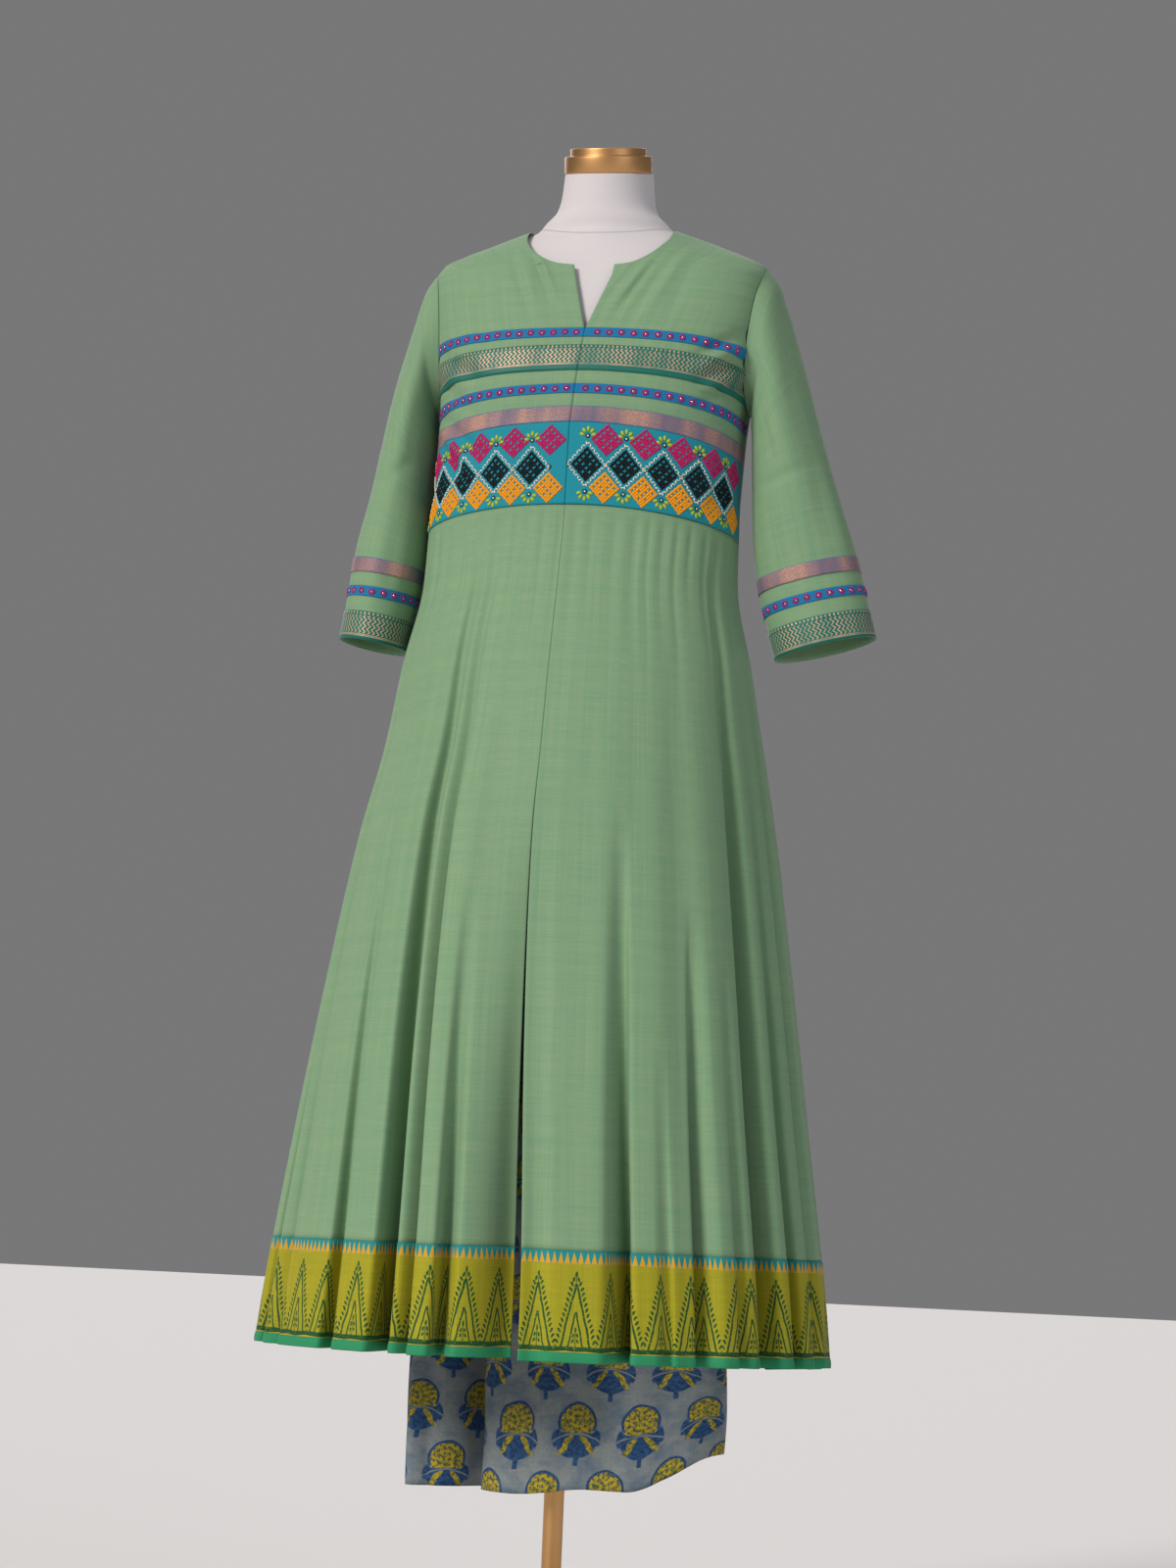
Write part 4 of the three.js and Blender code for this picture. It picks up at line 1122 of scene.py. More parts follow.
def hem_height(at):
    """Height of the hem, a little up in front and down behind."""
    facing = np.cos(np.radians(at))
    return HEM_SIDE + np.where(facing > 0, HEM_FRONT_LIFT, HEM_BACK_DROP) * facing


def slit_opening(z):
    """0 where the fronts are closed and 1 at the hem."""
    return smooth((SLIT_TOP - z) / (SLIT_TOP - HEM_SIDE))


def swung_angle(at, z):
    """Where a place on the hem has come from higher up."""
    closed = 1 - slit_opening(z)
    near_slit = np.exp(-(((at - SLIT_ANGLE) / SLIT_REACH) ** 2))
    near_left = np.where((at < 0) & (at > -90), np.sin(np.radians(2 * at)), 0)
    return at - SLIT_ANGLE * closed * near_slit + LEFT_SWING * near_left * closed


def skirt_point(at, z, edge):
    """A point of the skirt's outer face, with its folds, gathers and swells."""
    opened = slit_opening(z)
    swung = swung_angle(at, z)
    centre = dress.point(swung, z)
    tangent = dress.point(swung + TANGENT_STEP, z) - centre
    tangent[..., 2] = 0
    tangent /= np.linalg.norm(tangent, axis=-1, keepdims=True)
    outward = np.cross(tangent, (0, 0, 1))
    inwards, slide = np.zeros_like(at), np.zeros_like(at)
    for fold_at, depth, half, sideways, top in FOLDS:
        q = np.abs(np.radians(wrapped(at, fold_at)) * HEM_RADIUS / half)
        share = np.exp(-(q**FOLD_SQUARE)) * np.clip((top - z) / (top - HEM_SIDE), 0, 1) ** FOLD_GROWTH
        inwards += depth * share
        slide += sideways * share
    if edge == "left":
        beside = np.exp(-(((at - SLIT_ANGLE) / SLIT_TUCK_REACH) ** 2))
        inwards += SLIT_TURN_IN * opened * beside
        slide += SLIT_TUCK * opened * beside
    below = seam_height(at) - z
    for gather_at, run, width, depth in GATHERS:
        away = np.radians(wrapped(at, gather_at)) * YOKE_RADIUS / width
        ridge = np.exp(-away * away) * smooth(1 - below / run) * smooth(below / GATHER_START)
        inwards -= GATHER_DEPTH * depth * ridge
    grown = smooth(below / SWELLS_FULL_AT)
    for waves, phase, height in SWELLS:
        inwards += height * grown * np.sin(np.radians(waves * at + phase)) * SWELL_SHARE
    return centre - outward * inwards[..., None] + tangent * slide[..., None]


print("hem in front at", float(hem_height(0.0)), "mm")

# %% [markdown]
# ## Skirt: its panels
# A panel needs more points where it folds sharply than where it hangs smooth, so `stations` sets its columns
# closer together at the folds, as a draughtsman would. Three panels are made, two fronts and a back, each from
# the yoke seam to the top of the hem border. The border and the piping are cut from the same surface a little
# further down and are kept for a later step.
# %% Skirt panels
FOLD_CLOSENESS, FOLD_SPAN = 1.6, 1.6
SLIT_EDGE_REACH = 6
SEAM_GAP, FRONTS_GAP = 0.5, 0.15
BORDER_LIFT = 0.5
# Each piece's first and last direction, and its number of columns.
SKIRT_PIECES = {"right": (SLIT_ANGLE, 90, 230), "left": (-90, SLIT_ANGLE, 260), "back": (90, 270, 390)}


def stations(start, end, count):
    """Angles from start to end, closer together at the folds."""
    fine = np.linspace(start, end, 4000)
    density = np.ones_like(fine)
    for fold_at, _, half, _, _ in FOLDS:
        reach = math.degrees(FOLD_SPAN * half / HEM_RADIUS)
        density += FOLD_CLOSENESS * np.exp(-((wrapped(fine, fold_at) / reach) ** 2))
    total = np.concatenate([[0], np.cumsum((density[1:] + density[:-1]) / 2)])
    return np.interp(np.linspace(0, total[-1], count), total, fine)


def skirt_cloth(edge, start, end, count, upper, lower, rows):
    """A stretch of one skirt piece; upper and lower are heights above the hem, or None for the yoke seam."""
    at = stations(start, end, count)[None, :]
    low = hem_height(at) + lower
    seam = seam_height(swung_angle(at, SLIT_TOP)) - SEAM_GAP
    high = seam if upper is None else hem_height(at) + upper
    z = high + (low - high) * np.linspace(0, 1, rows)[:, None]
    at = np.broadcast_to(at, z.shape)
    points = skirt_point(at, z, edge)
    half_gap = FRONTS_GAP + math.radians(SLIT_HALF_GAP) * HEM_RADIUS * slit_opening(z)
    if edge != "back":
        apart = half_gap * np.exp(-np.abs(at - SLIT_ANGLE) / SLIT_EDGE_REACH)
        points[..., 0] += SIDES[edge] * apart
    cloth = Cloth(points)
    hem = skirt_point(at[-1:], hem_height(at[-1:]), edge)
    across = lengths(hem, 1)
    zero = {"right": 0, "left": across[0, -1], "back": 0}[edge]
    cloth.u = np.broadcast_to(across - zero, z.shape).copy()
    return cloth


border_cloths, piping_cloths = {}, {}
for edge, (start, end, count) in SKIRT_PIECES.items():
    panel = skirt_cloth(edge, start, end, count, None, BORDER + PIPING, 120)
    node = "skirt_back" if edge == "back" else f"skirt_front_{edge}"
    words = measured(panel, held="hung", rests_on=["form_skin"])
    sheet(f"{node}_cloth", panel, COTTON, replaces=[node], slot="green_cotton", **words)
    border = skirt_cloth(edge, start, end, count, BORDER + PIPING + 1, PIPING - 1, 16)
    border_cloths[edge] = border.offset(BORDER_LIFT)
    piping_cloths[edge] = skirt_cloth(edge, start, end, count, PIPING + 2, 0, 8)
    print(node, words["flat"], "m")

# %% [markdown]
# ## Indigo print: the ground
# The pants are cotton printed by the resist method: a paste keeps the dye out of some places, and the rest takes
# up the indigo vat. It leaves a ground that is never even, with cloudy patches some 20 to 30 mm wide and fine
# darker cracks where the paste broke, about 2 mm apart. To the eye that is a worn, greyed blue, quite matt. A
# printing block is also set down by hand, so `block_places` shakes the figures' places by a few millimetres
# along the cloth and frays their edges a little.
# %% Indigo cotton
PANTS_COTTON = woven("indigo resist-printed cotton", "#64747e", "#9d9b8f", slub=0.6)


def block_places(tree, shake=3.0, fray=0.7):
    """Cloth places as a hand-held printing block meets them: shaken and frayed, in millimetres."""
    place, u, v = cloth_places(tree)
    shake_u = (uneven(tree, place, (0.06, 0.06), 1.0) - 0.5) * shake
    shake_v = (uneven(tree, place, (0.05, 0.07), 1.0) - 0.5) * shake
    edge = (uneven(tree, place, (0.9, 0.9)) - 0.5) * fray
    return place, u + shake_u + edge, v + shake_v + edge


tree, shader, ground = ground_of(PANTS_COTTON)
place, u, v = block_places(tree, 4.2, 1.2)
clouds = uneven(tree, place, (0.035, 0.05), 5.0, 0.65)
cracks = uneven(tree, place, (0.4, 0.5), 4.0, 0.7)
ground = clouds.rising(0.42, 0.78).over(ground, srgb("#3c5872"))
ground = cracks.rising(0.52, 0.66).over(ground, srgb("#5c7a92"))
print("dyed:", PANTS_COTTON.name)

# %% [markdown]
# ## Indigo print: the flower
# One block prints one flower: a yellow dome of petals in a navy cup, on a short stem between two curled leaves.
# The rows of flowers are 66 mm apart and each row is moved along by half a step, which is called a half drop. A
# remainder (`%`) repeats one drawing over the whole cloth. The drawing is symmetrical, so x counts outwards from
# the flower's middle, and y counts down from it.
# %% Flowers on the pants
FLOWER_PITCH, FLOWER_ROW, FLOWER_DROP, FLOWER_SIZE = 72, 66, 53, 0.92
row = ((v + FLOWER_DROP) * (1 / FLOWER_ROW)).worked("FLOOR")
x = abs((u + (row % 2) * (FLOWER_PITCH / 2)) % FLOWER_PITCH - FLOWER_PITCH / 2)
y = ((v + FLOWER_DROP) % FLOWER_ROW) - FLOWER_ROW / 2
x, y = x * FLOWER_SIZE, y * FLOWER_SIZE
cup = oval(x, y, 0, 3, 22.5, 20).within((y + 1) * -1)
cup = cup.either((x - 2.4).within(between(y, 14, 32)))
cup = cup.either(oval(x, y, 21, 4, 4, 8, -0.5))
gap = abs(y - 0.5 - x * x * 0.012) - 0.8
cup = cup.within(gap * -1)
whole_dome = oval(x, y, 0, -10, 18.5, 17.5)
dome = whole_dome.within(y + 0.5)
outline = (abs(whole_dome) - 1.3).within(y + 3)
leaves = oval(x, y, 9.0, 7.0, 5.6, 3.3, -0.7).either(oval(x, y, 13.8, 14.5, 5.0, 2.8, -0.6))
seeds = dome.within(oval((x % 5.2) - 2.6, ((y + x * 0.4) % 5.6) - 2.8, 0, 0, 0.9, 1.3))
depth_of_dye = uneven(tree, place, (0.2, 0.25), 4.0, 0.6)
navy = depth_of_dye.rising(0.4, 0.62).over(srgb("#18335a"), srgb("#2b5480"))
yellow = depth_of_dye.rising(0.42, 0.62).over(srgb("#b09c22"), srgb("#465436"))
colour = cup.shown(0.5).over(ground, navy)
colour = dome.shown(0.5).over(colour, yellow)
colour = seeds.shown(0.3).over(colour, srgb("#2c4455"))
colour = leaves.shown(0.4).over(colour, yellow)
colour = outline.shown(0.4).over(colour, navy)
paint(tree, shader, colour)
print("a flower every", FLOWER_PITCH, "mm")

# %% [markdown]
# ## Pants: seat and waistband
# The pants hang from an elastic in a casing at the waist. The seat is one smooth tube over the hips, and only a
# little of it could ever be seen under the kurti, so it has no creases. The waistband follows the form's own
# sections, lifted off by the thickness of the cloth, and a fast wave round it is the gathering of the elastic.
# %% Seat and waistband
SEAT = [
    (1154.7, 126, 93, 88, 0, 2.1),
    (1080, 151, 105, 111, 0, 2.1),
    (1000, 168, 114, 124, 0, 2.0),
    (920, 166, 114, 122, 0, 2.0),
    (842, 162, 112, 112, 0, 2.0),
]
# Heights of the crotch and the pants' hem, and where the legs part: x and the ease to each side of it.
CROTCH, CROTCH_X, CROTCH_EASE, PANTS_HEM = 842, -20, 3.5, 197
seat = Sections(SEAT)
WAIST_TOP, WAIST_BOTTOM, WAIST_LIFT = 1190, 1155, 1.9
WAIST_GATHERS, WAIST_GATHER_DEPTH = 36, 0.45
around = np.linspace(-180, 180, 129)
at, z = np.meshgrid(around, np.linspace(SEAT[0][0], CROTCH, 40))
seat_cloth = Cloth(seat.point(at, z), closed=True)
at, z = np.meshgrid(around, np.linspace(WAIST_TOP, WAIST_BOTTOM, 24))
up = (z - WAIST_BOTTOM) / (WAIST_TOP - WAIST_BOTTOM)
pull = np.sin(np.radians(at * WAIST_GATHERS)) * np.sin(np.pi * up)
waist_cloth = Cloth(form.point(at, z), closed=True).offset(WAIST_LIFT)
waist_cloth = waist_cloth.offset((WAIST_GATHER_DEPTH * pull)[..., None])
print("waist, flat:", [round(part, 3) for part in cloth_size(waist_cloth)[:2]], "m")

# %% [markdown]
# ## Pants: how the legs hang
# Empty pants legs hang as flat tubes that turn and lean a little, and the cloth settles slowly from the hips down
# to that shape. `LEG_LEVELS` says how far each leg has settled at each height, from 0 at the crotch to 1 below.
# A few lengthwise folds are listed as for the skirt, with direction, width in degrees, and depth in millimetres,
# and slow ripples show near the hem. Such measures are easier to try out in a table than in a function.
# %% How the legs hang
LEG_LEVELS = [
    (841.7, 0, 0),
    (790, 0.06, 0.4),
    (710, 0.25, 0.75),
    (610, 0.6, 0.92),
    (480, 0.88, 1),
    (340, 1, 1),
    (197, 1, 1),
]
# Legs: x of the top, then x, y, half length, half width, turn and rise of the hem.
LEGS = {"right": (70, 55, -16, 133, 54, 0, 42), "left": (-90, -96, 68, 104, 43, 50, 0)}
LEG_FOLDS = {
    "right": [
        (232, 7, 5), (246, 5, -3), (262, 9, 3), (284, 8, -4),
        (305, 9, 4), (20, 9, 5), (75, 12, 5), (130, 11, 5),
    ],
    "left": [(214, 8, 4), (236, 7, -3), (258, 8, 4), (300, 10, 4), (345, 10, 4), (60, 12, 5), (120, 12, 5)],
}
# The folds begin here and are full lower down, and so are the ripples, which are waves down and round the leg.
FOLDS_FROM, FOLDS_OVER = 700, 450
RIPPLES_FROM, RIPPLES_OVER, RIPPLE_DEPTH, RIPPLE_STEP, RIPPLES_ROUND = 560, 200, 1.2, 1.7, 5
# The gap between seat and leg.
SEAT_GAP = 0.3
# The hem's rise fades in from this height down. The right leg also hangs a little shorter in front of the pole.
RISE_FROM = 340
RISE_AT, RISE_OVER, LIFT_AT, LIFT_OVER = 90, 100, -40, 90
LEG_LIFT = {"right": 10, "left": 0}
settle_rows = list(zip(*LEG_LEVELS))
settle = {"right": curve(settle_rows[0], settle_rows[1]), "left": curve(settle_rows[0], settle_rows[2])}
print("half way down, the right leg has settled by", round(float(settle["right"](600)), 2))

# %% [markdown]
# ## Pants: the legs
# The two legs have to part at the crotch without a hole or an overlap. Each leg's first ring is therefore its own
# share of the seat's lowest oval, cut off straight where the legs meet, and every ring below is a mixture of that
# share and the leg's flat oval. Two cylinders joined by a boolean would meet in a hard crease instead. A hem
# rises on the side where its leg swings outwards.
# %% Legs


def crotch_ring(top_x, along_x, along_y):
    """How far the seat's lowest oval reaches from a leg's top, cut off straight at the crotch."""
    half, front = SEAT[-1][1], SEAT[-1][2]
    a = (along_x / half) ** 2 + (along_y / front) ** 2
    b = 2 * top_x * along_x / half**2
    c = (top_x / half) ** 2 - 1
    reach = (-b + np.sqrt(b * b - 4 * a * c)) / (2 * a)
    limit = CROTCH_X + math.copysign(CROTCH_EASE, top_x - CROTCH_X) - top_x
    straight = np.where(along_x * limit > 1e-9, limit / np.where(np.abs(along_x) < 1e-9, 1, along_x), 1e9)
    return np.minimum(reach, straight)


def leg_cloth(side, columns=181, rows=90):
    """One leg from the crotch to its hem."""
    top_x, x, y, long, short, turned_by, rise = LEGS[side]
    angle = np.radians(np.linspace(90, 450, columns))[None, :]
    z = np.linspace(CROTCH - SEAT_GAP, PANTS_HEM, rows)[:, None]
    along_x, along_y = np.cos(angle), np.sin(angle)
    reach = crotch_ring(top_x, along_x, along_y)
    turned_by = math.radians(turned_by)
    low_x, low_y = long * np.cos(angle - turned_by), short * np.sin(angle - turned_by)
    hang = settle[side](z)
    px = (1 - hang) * (reach * along_x + top_x)
    py = (1 - hang) * reach * along_y
    px = px + hang * (low_x * math.cos(turned_by) - low_y * math.sin(turned_by) + x)
    py = py + hang * (low_x * math.sin(turned_by) + low_y * math.cos(turned_by) + y)
    near_hem = np.clip((RISE_FROM - z) / (RISE_FROM - PANTS_HEM), 0, 1)
    raised = rise * smooth((px - RISE_AT) / RISE_OVER) + LEG_LIFT[side] * smooth((px - LIFT_AT) / LIFT_OVER)
    pz = z + raised * near_hem
    points = np.stack([px, py, pz], axis=-1)
    depth = np.zeros_like(px)
    for fold_at, width, deep in LEG_FOLDS[side]:
        fold = np.exp(-((wrapped(np.degrees(angle), fold_at) / width) ** 2))
        depth -= deep * fold * smooth((FOLDS_FROM - z) / FOLDS_OVER)
    ripples = np.sin(np.radians(z * RIPPLE_STEP) + RIPPLES_ROUND * angle)
    depth += RIPPLE_DEPTH * ripples * smooth((RIPPLES_FROM - z) / RIPPLES_OVER)
    points += normals_of(points, True) * depth[..., None]
    return Cloth(points, closed=True)


for side in SIDES:
    cloth = leg_cloth(side)
    words = measured(cloth, held="hung", rests_on=["pants_seat_cloth"])
    name = f"pants_leg_{side}"
    sheet(f"{name}_cloth", cloth, PANTS_COTTON, replaces=[name], slot="indigo_print", **words)
    print(name, words["flat"], "m")
for name, cloth, held, thickness in (
    ("pants_seat", seat_cloth, "hung", 0.8),
    ("pants_waistband", waist_cloth, "gathered", 1.4),
):
    words = measured(cloth, held=held, rests_on=["form_skin"])
    words["thickness"] = thickness
    sheet(f"{name}_cloth", cloth, PANTS_COTTON, replaces=[name], slot="indigo_print", **words)
    print(name, words["flat"], "m")

# %% [markdown]
# ## Hem border: its print
# The kurti's edge is faced with a band of mustard cotton that was printed with wooden blocks in dark green: tall
# trees like narrow tents, one beside the other, with buds at their tips, small leaves along their sides and a
# plant at the foot. A teal strip with yellow teeth runs above them. Block print is matt, and its colour breaks up
# where the block was dry, in specks about 2 mm wide. As on the pants, x counts outwards from a tree's middle, and
# v counts down from the border's top edge.
# %% Printed border
BORDER_PRINT = woven("block-printed cotton border", "#7d8212", "#b5a722", slub=0.8)
TREE_PITCH, TOOTH_PITCH, STRIP = 42.6, 7.2, 13.5
tree, shader, ground = ground_of(BORDER_PRINT)
place, u, v = block_places(tree)
x = abs(u % TREE_PITCH - TREE_PITCH / 2)
tent = (abs(x * 1.5 - (v - 33) * 0.36) * 0.64 - 1.15).within(between(v, 34, 98))
inner_tent = (abs(x - (v - 62) * 0.22) - 0.95).within(between(v, 63, 98))
out = x - ((v - 28) * 0.265 + 2.2)
leaves = oval(out, (v % 5.3) - 2.65 + out * 0.9, 0.9, 0, 2.5, 1.6).within(between(v, 31, 97))
buds = oval(x, v, 0, 24.5, 1.5, 3.2).either(oval(x, v, 2.7, 29.5, 1.5, 2.6, -0.5))
buds = buds.either((x - 0.5).within(between(v, 24, 36)))
plant = oval(x, v, 0, 80, 1.2, 3.0).either(oval(x, v, 2.2, 86.5, 1.3, 2.2, -0.6))
plant = plant.either(oval(x, v, 2.6, 92, 1.4, 1.8, -0.6)).either((x - 0.5).within(between(v, 79, 98)))
ground_line = between(v, 97.6, 102.6)
trees = tent.either(inner_tent).either(leaves).either(buds).either(plant).either(ground_line)
print("a tree every", TREE_PITCH, "mm")

# %% [markdown]
# ## Hem border: its colours
# Each figure becomes a colour over the one below it, in the order in which a printer would lay the blocks: the
# dark trees on the mustard ground, then the strip with its teeth, and last the thin yellow line under the trees.
# %% Colours of the border
speckle = uneven(tree, place, (0.5, 0.5), 3.0)
printed = trees.shown(0.3) * speckle.rising(0.28, 0.42)
colour = printed.over(ground, srgb("#0f4a22"))
strip_colour = speckle.over(srgb("#14757c"), srgb("#21908a"))
teeth = (abs(u % TOOTH_PITCH - TOOTH_PITCH / 2) - (v - 1.6) * 0.27).within(between(v, 1.4, STRIP))
strip_colour = teeth.shown(0.2).over(strip_colour, srgb("#c9971c"))
colour = (v - STRIP).shown(0.3).over(colour, strip_colour)
colour = between(v, 102.6, 104.2).shown(0.2).over(colour, srgb("#c9a52c"))
paint(tree, shader, colour)
print("printed:", BORDER_PRINT.name)

# %% [markdown]
# ## Hem border and piping
# The border is sewn flat over the skirt's edge, so it lies half a millimetre further out on the same folds. A
# narrow strip of green cotton, matt like the rest, is folded round the very edge. It is called piping, and it
# keeps the hem from fraying. It swells a little in the middle of its width, because there is cloth folded inside
# it. Both were cut from the skirt's surface in the skirt's step, since a strip modelled by itself would never
# follow the folds.
# %% Border and piping
PIPING_COTTON = woven("green edging", "#1f7a4c", "#2f9468", slub=0.5)
PIPING_SWELL = 0.7
for edge in SKIRT_PIECES:
    cloth = border_cloths[edge]
    words = measured(cloth, held="hung", rests_on=["skirt_back_cloth"])
    name = f"hem_border_{edge}"
    sheet(f"{name}_cloth", cloth, BORDER_PRINT, replaces=[name], slot="hem_print", thickness=0.9, **words)
    print(name, words["flat"], "m")
    cloth = piping_cloths[edge]
    swell = PIPING_SWELL * (1 + np.sin(np.pi * np.clip(cloth.v / cloth.v.max(), 0, 1)))
    cloth = cloth.offset(swell[..., None])
    words = measured(cloth, held="hung", rests_on=[f"hem_border_{edge}_cloth"])
    name = f"hem_piping_{edge}"
    sheet(f"{name}_cloth", cloth, PIPING_COTTON, replaces=[name], slot="piping", thickness=2.0, **words)
    print(name, words["flat"], "m")

# %% [markdown]
# ## Green zari
# Zari is metal thread, a flat gilt wire wound round a core, woven into a band. The green band carries rows of
# gold chevrons between two borders. Real chevrons are about 2 mm apart, which the picture can't show, so they are
# drawn every 5.2 mm. The wire's broken, warm glint is a painted sheen: in long patches the gold is bright and
# metallic, and between them it fades into the green. A pattern also drives how metallic it is, so that only the
# thread shines.
# %% Green zari
GREEN_ZARI = woven("green zari band", "#0f5a4f", "#1a7466", slub=0.5)
CHEVRON_PITCH, CHEVRON_TURN, CHEVRON_SLOPE = 5.2, 6.6, 1.15
TICK_PITCH = 4.8
THREAD_SHINE = 0.3
tree, shader, ground = ground_of(GREEN_ZARI)
place, u, v = cloth_places(tree)
swing = abs(v % CHEVRON_TURN - CHEVRON_TURN / 2)
chevrons = between((u + swing * CHEVRON_SLOPE) % CHEVRON_PITCH, 0.2, 1.75).within(between(v, 4.6, 25.0))
ticks = between(u % TICK_PITCH, 0.4, 2.2).within(between(v, 0.8, 3.2))
rules = between(v, 25.8, 26.5).either(between(v, 27.2, 27.9))
# Painted sheen: long patches where the gold thread glints, and between them the gold fades into the green ground.
glint_patches = uneven(tree, place, (0.035, 0.008)).rising(0.25, 0.55)
gold = chevrons.either(ticks).either(rules).shown(0.2) * glint_patches
paint(tree, shader, gold.over(ground, srgb("#d2a988")))
tree.links.new((gold * THREAD_SHINE).socket, shader.inputs["Metallic"])
shader.inputs["Roughness"].default_value = 0.5
print("woven:", GREEN_ZARI.name)

# %% [markdown]
# ## Copper zari, ribbon and teal cotton
# The copper band is woven all over with a copper-coloured wire on a dusk-blue ground. The wire's copper colour
# shows in grains about a millimetre wide, and in patches about 45 mm long that are a painted sheen where the wire
# catches the light. To the eye it changes from copper to slate along its length, with a dull gleam. Its edges
# have a row of tiny blue loops, which are called picots. The mirror ribbon and the yoke's teal ground have no
# metal in them, so they are plain woven cotton in their colours.
# %% Copper zari, ribbon and teal cotton
COPPER_ZARI = woven("copper zari band", "#4d5474", "#66617a", slub=0.5)
RIBBON = woven("blue ribbon", "#07659a", "#0c78a6", slub=0.4)
EMBROIDERY_GROUND = woven("teal cotton", "#0d8091", "#168c9d", slub=0.4)
PICOT_PITCH = 2.4
tree, shader, ground = ground_of(COPPER_ZARI)
place, u, v = cloth_places(tree)
# Painted sheen: patches about 45 mm long along the band where the copper wire catches the light and shows copper,
# with slate between them.
sheen_patches = uneven(tree, place, (0.022, 0.004), 3.0)
grain = uneven(tree, place, (0.9, 0.5), 3.0)
copper = sheen_patches.rising(0.36, 0.6) * grain.rising(0.25, 0.7)
picots = between(u % PICOT_PITCH, 0.2, 1.4).within(between(v, -1, 1.1).either(between(v, 16.8, 30)))
colour = copper.over(ground, srgb("#cf9a76"))
paint(tree, shader, picots.shown(0.2).over(colour, srgb("#1a6f9f")))
tree.links.new((copper * THREAD_SHINE).socket, shader.inputs["Metallic"])
shader.inputs["Roughness"].default_value = 0.6
print("woven:", COPPER_ZARI.name, RIBBON.name, EMBROIDERY_GROUND.name)

# %% [markdown]
# ## Bands across the chest and round the cuffs
# The bands are narrow cloths sewn flat on the fronts and the sleeves. Each is cut from the same surface as the
# cloth under it, between its own two levels, and lifted 0.9 mm, so it follows every crease below it. A flat strip
# that is wrapped on with a modifier would slide at the curved armholes. On the chest they were sewn to a curve,
# so they sag further towards the sides than the cloth's own threads do.
# %% Bands
BANDS = {
    "ribbon_upper": (1465, 1454.5),
    "zari_green": (1445, 1415.5),
    "ribbon_lower": (1400.5, 1390),
    "zari_copper": (1375.5, 1357.8),
    "yoke_band": (1357.5, 1268),
}
BAND_LOOKS = {
    "ribbon_upper": (RIBBON, "mirror_ribbon"),
    "zari_green": (GREEN_ZARI, "green_zari"),
    "ribbon_lower": (RIBBON, "mirror_ribbon"),
    "zari_copper": (COPPER_ZARI, "copper_zari"),
    "yoke_band": (EMBROIDERY_GROUND, "embroidery"),
    "cuff_copper": (COPPER_ZARI, "copper_zari"),
    "cuff_ribbon": (RIBBON, "mirror_ribbon"),
    "cuff_zari": (GREEN_ZARI, "green_zari"),
}
BAND_SAG = {"right": 11, "left": 7}
BAND_LIFT, BAND_THICKNESS = 0.9, 0.7


def band_point(at, level):
    """A point of the chest for a band's level, with the sag towards the armholes."""
    facing = np.sin(np.radians(at))
    upper = np.clip((level - YOKE_BOTTOM) / (BANDS["yoke_band"][0] - YOKE_BOTTOM), 0, 1)
    sag = np.where(facing > 0, BAND_SAG["right"], BAND_SAG["left"]) * upper * facing**2
    return bodice_point(at, level - sag)


bands = {}
for side in SIDES:
    for name, (top, bottom) in BANDS.items():
        levels = np.linspace(top, bottom, 40 if name == "yoke_band" else 12)
        bands[f"{name}_{side}"] = front_cloth(side, levels, 120, point=band_point).offset(BAND_LIFT)
    for name, (top, bottom) in CUFF_BANDS.items():
        start, end = HEM_RING - top / CUFF, HEM_RING - bottom / CUFF
        bands[f"{name}_{side}"] = sleeve_cloth(side, start, end, 10).offset(BAND_LIFT)
for node, cloth in bands.items():
    look, side = node.rsplit("_", 1)
    material, slot_name = BAND_LOOKS[look]
    under = f"sleeve_{side}_cloth" if node.startswith("cuff") else f"bodice_front_{side}_cloth"
    words = measured(cloth, held="stretched", rests_on=[under])
    words["thickness"] = BAND_THICKNESS
    sheet(f"{node}_cloth", cloth, material, replaces=[node], slot=slot_name, **words)
print("bands:", len(bands))

# %% [markdown]
# ## Embroidery thread and mirror glass
# The embroidery is worked in stranded cotton, six loose strands of a mercerised thread. Mercerising gives cotton
# a slight lustre, so each stitch has a faint gloss along it but no hard highlight: a roughness of 0.5 and a low
# specular level. The mirrors are small rounds of thin silvered glass. Silvered glass reflects like a metal, and
# its cut face is smooth but not quite flat, so it is a metal with a low roughness and a cool grey-green colour.
# %% Thread and mirror glass


def stranded_cotton(colour_name, colour):
    """Embroidery thread: coloured, soft, with a faint gloss."""
    look = {"Roughness": 0.5, "Specular_IOR_Level": 0.2, "Base_Color": srgb(colour)}
    return finish(f"{colour_name} stranded cotton", **look)[0]


MAGENTA = stranded_cotton("magenta", "#b4185f")
PURPLE = stranded_cotton("purple", "#97206f")
BLACK = stranded_cotton("black", "#0c0d10")
ORANGE = stranded_cotton("orange-yellow", "#ea9a0a")
CREAM = stranded_cotton("cream", "#e6d9c8")
LEAF = stranded_cotton("yellow-green", "#a6b832")
MIRROR, _, _ = finish("embroidery mirror glass", Metallic=1.0, Roughness=0.12, Base_Color=srgb("#aebcb6"))
print("threads: six, and mirror glass")

# %% [markdown]
# ## One stitch, many times
# A satin stitch is a few strands laid side by side, so it looks like a small flattened bead. Painting stitches in
# the colour would leave the yoke flat in a raking light, so every stitch is real: an icosphere of 20 faces, the
# cheapest round shape, stretched to the stitch's length and width. It is made on the cloth's flat coordinates,
# where the embroiderer's pattern is easy to lay out, and then each vertex is moved on to the hanging cloth. All
# stitches of one thread are one mesh. Mirrors are low discs with a slightly sloped edge.
# %% Stitches on a cloth
DISC_SIDES, DISC_UNDERSIDE = 14, 0.9
# The middle of a stitch or a disc lies above the cloth by this share of its height.
STITCH_LIFT = 0.3


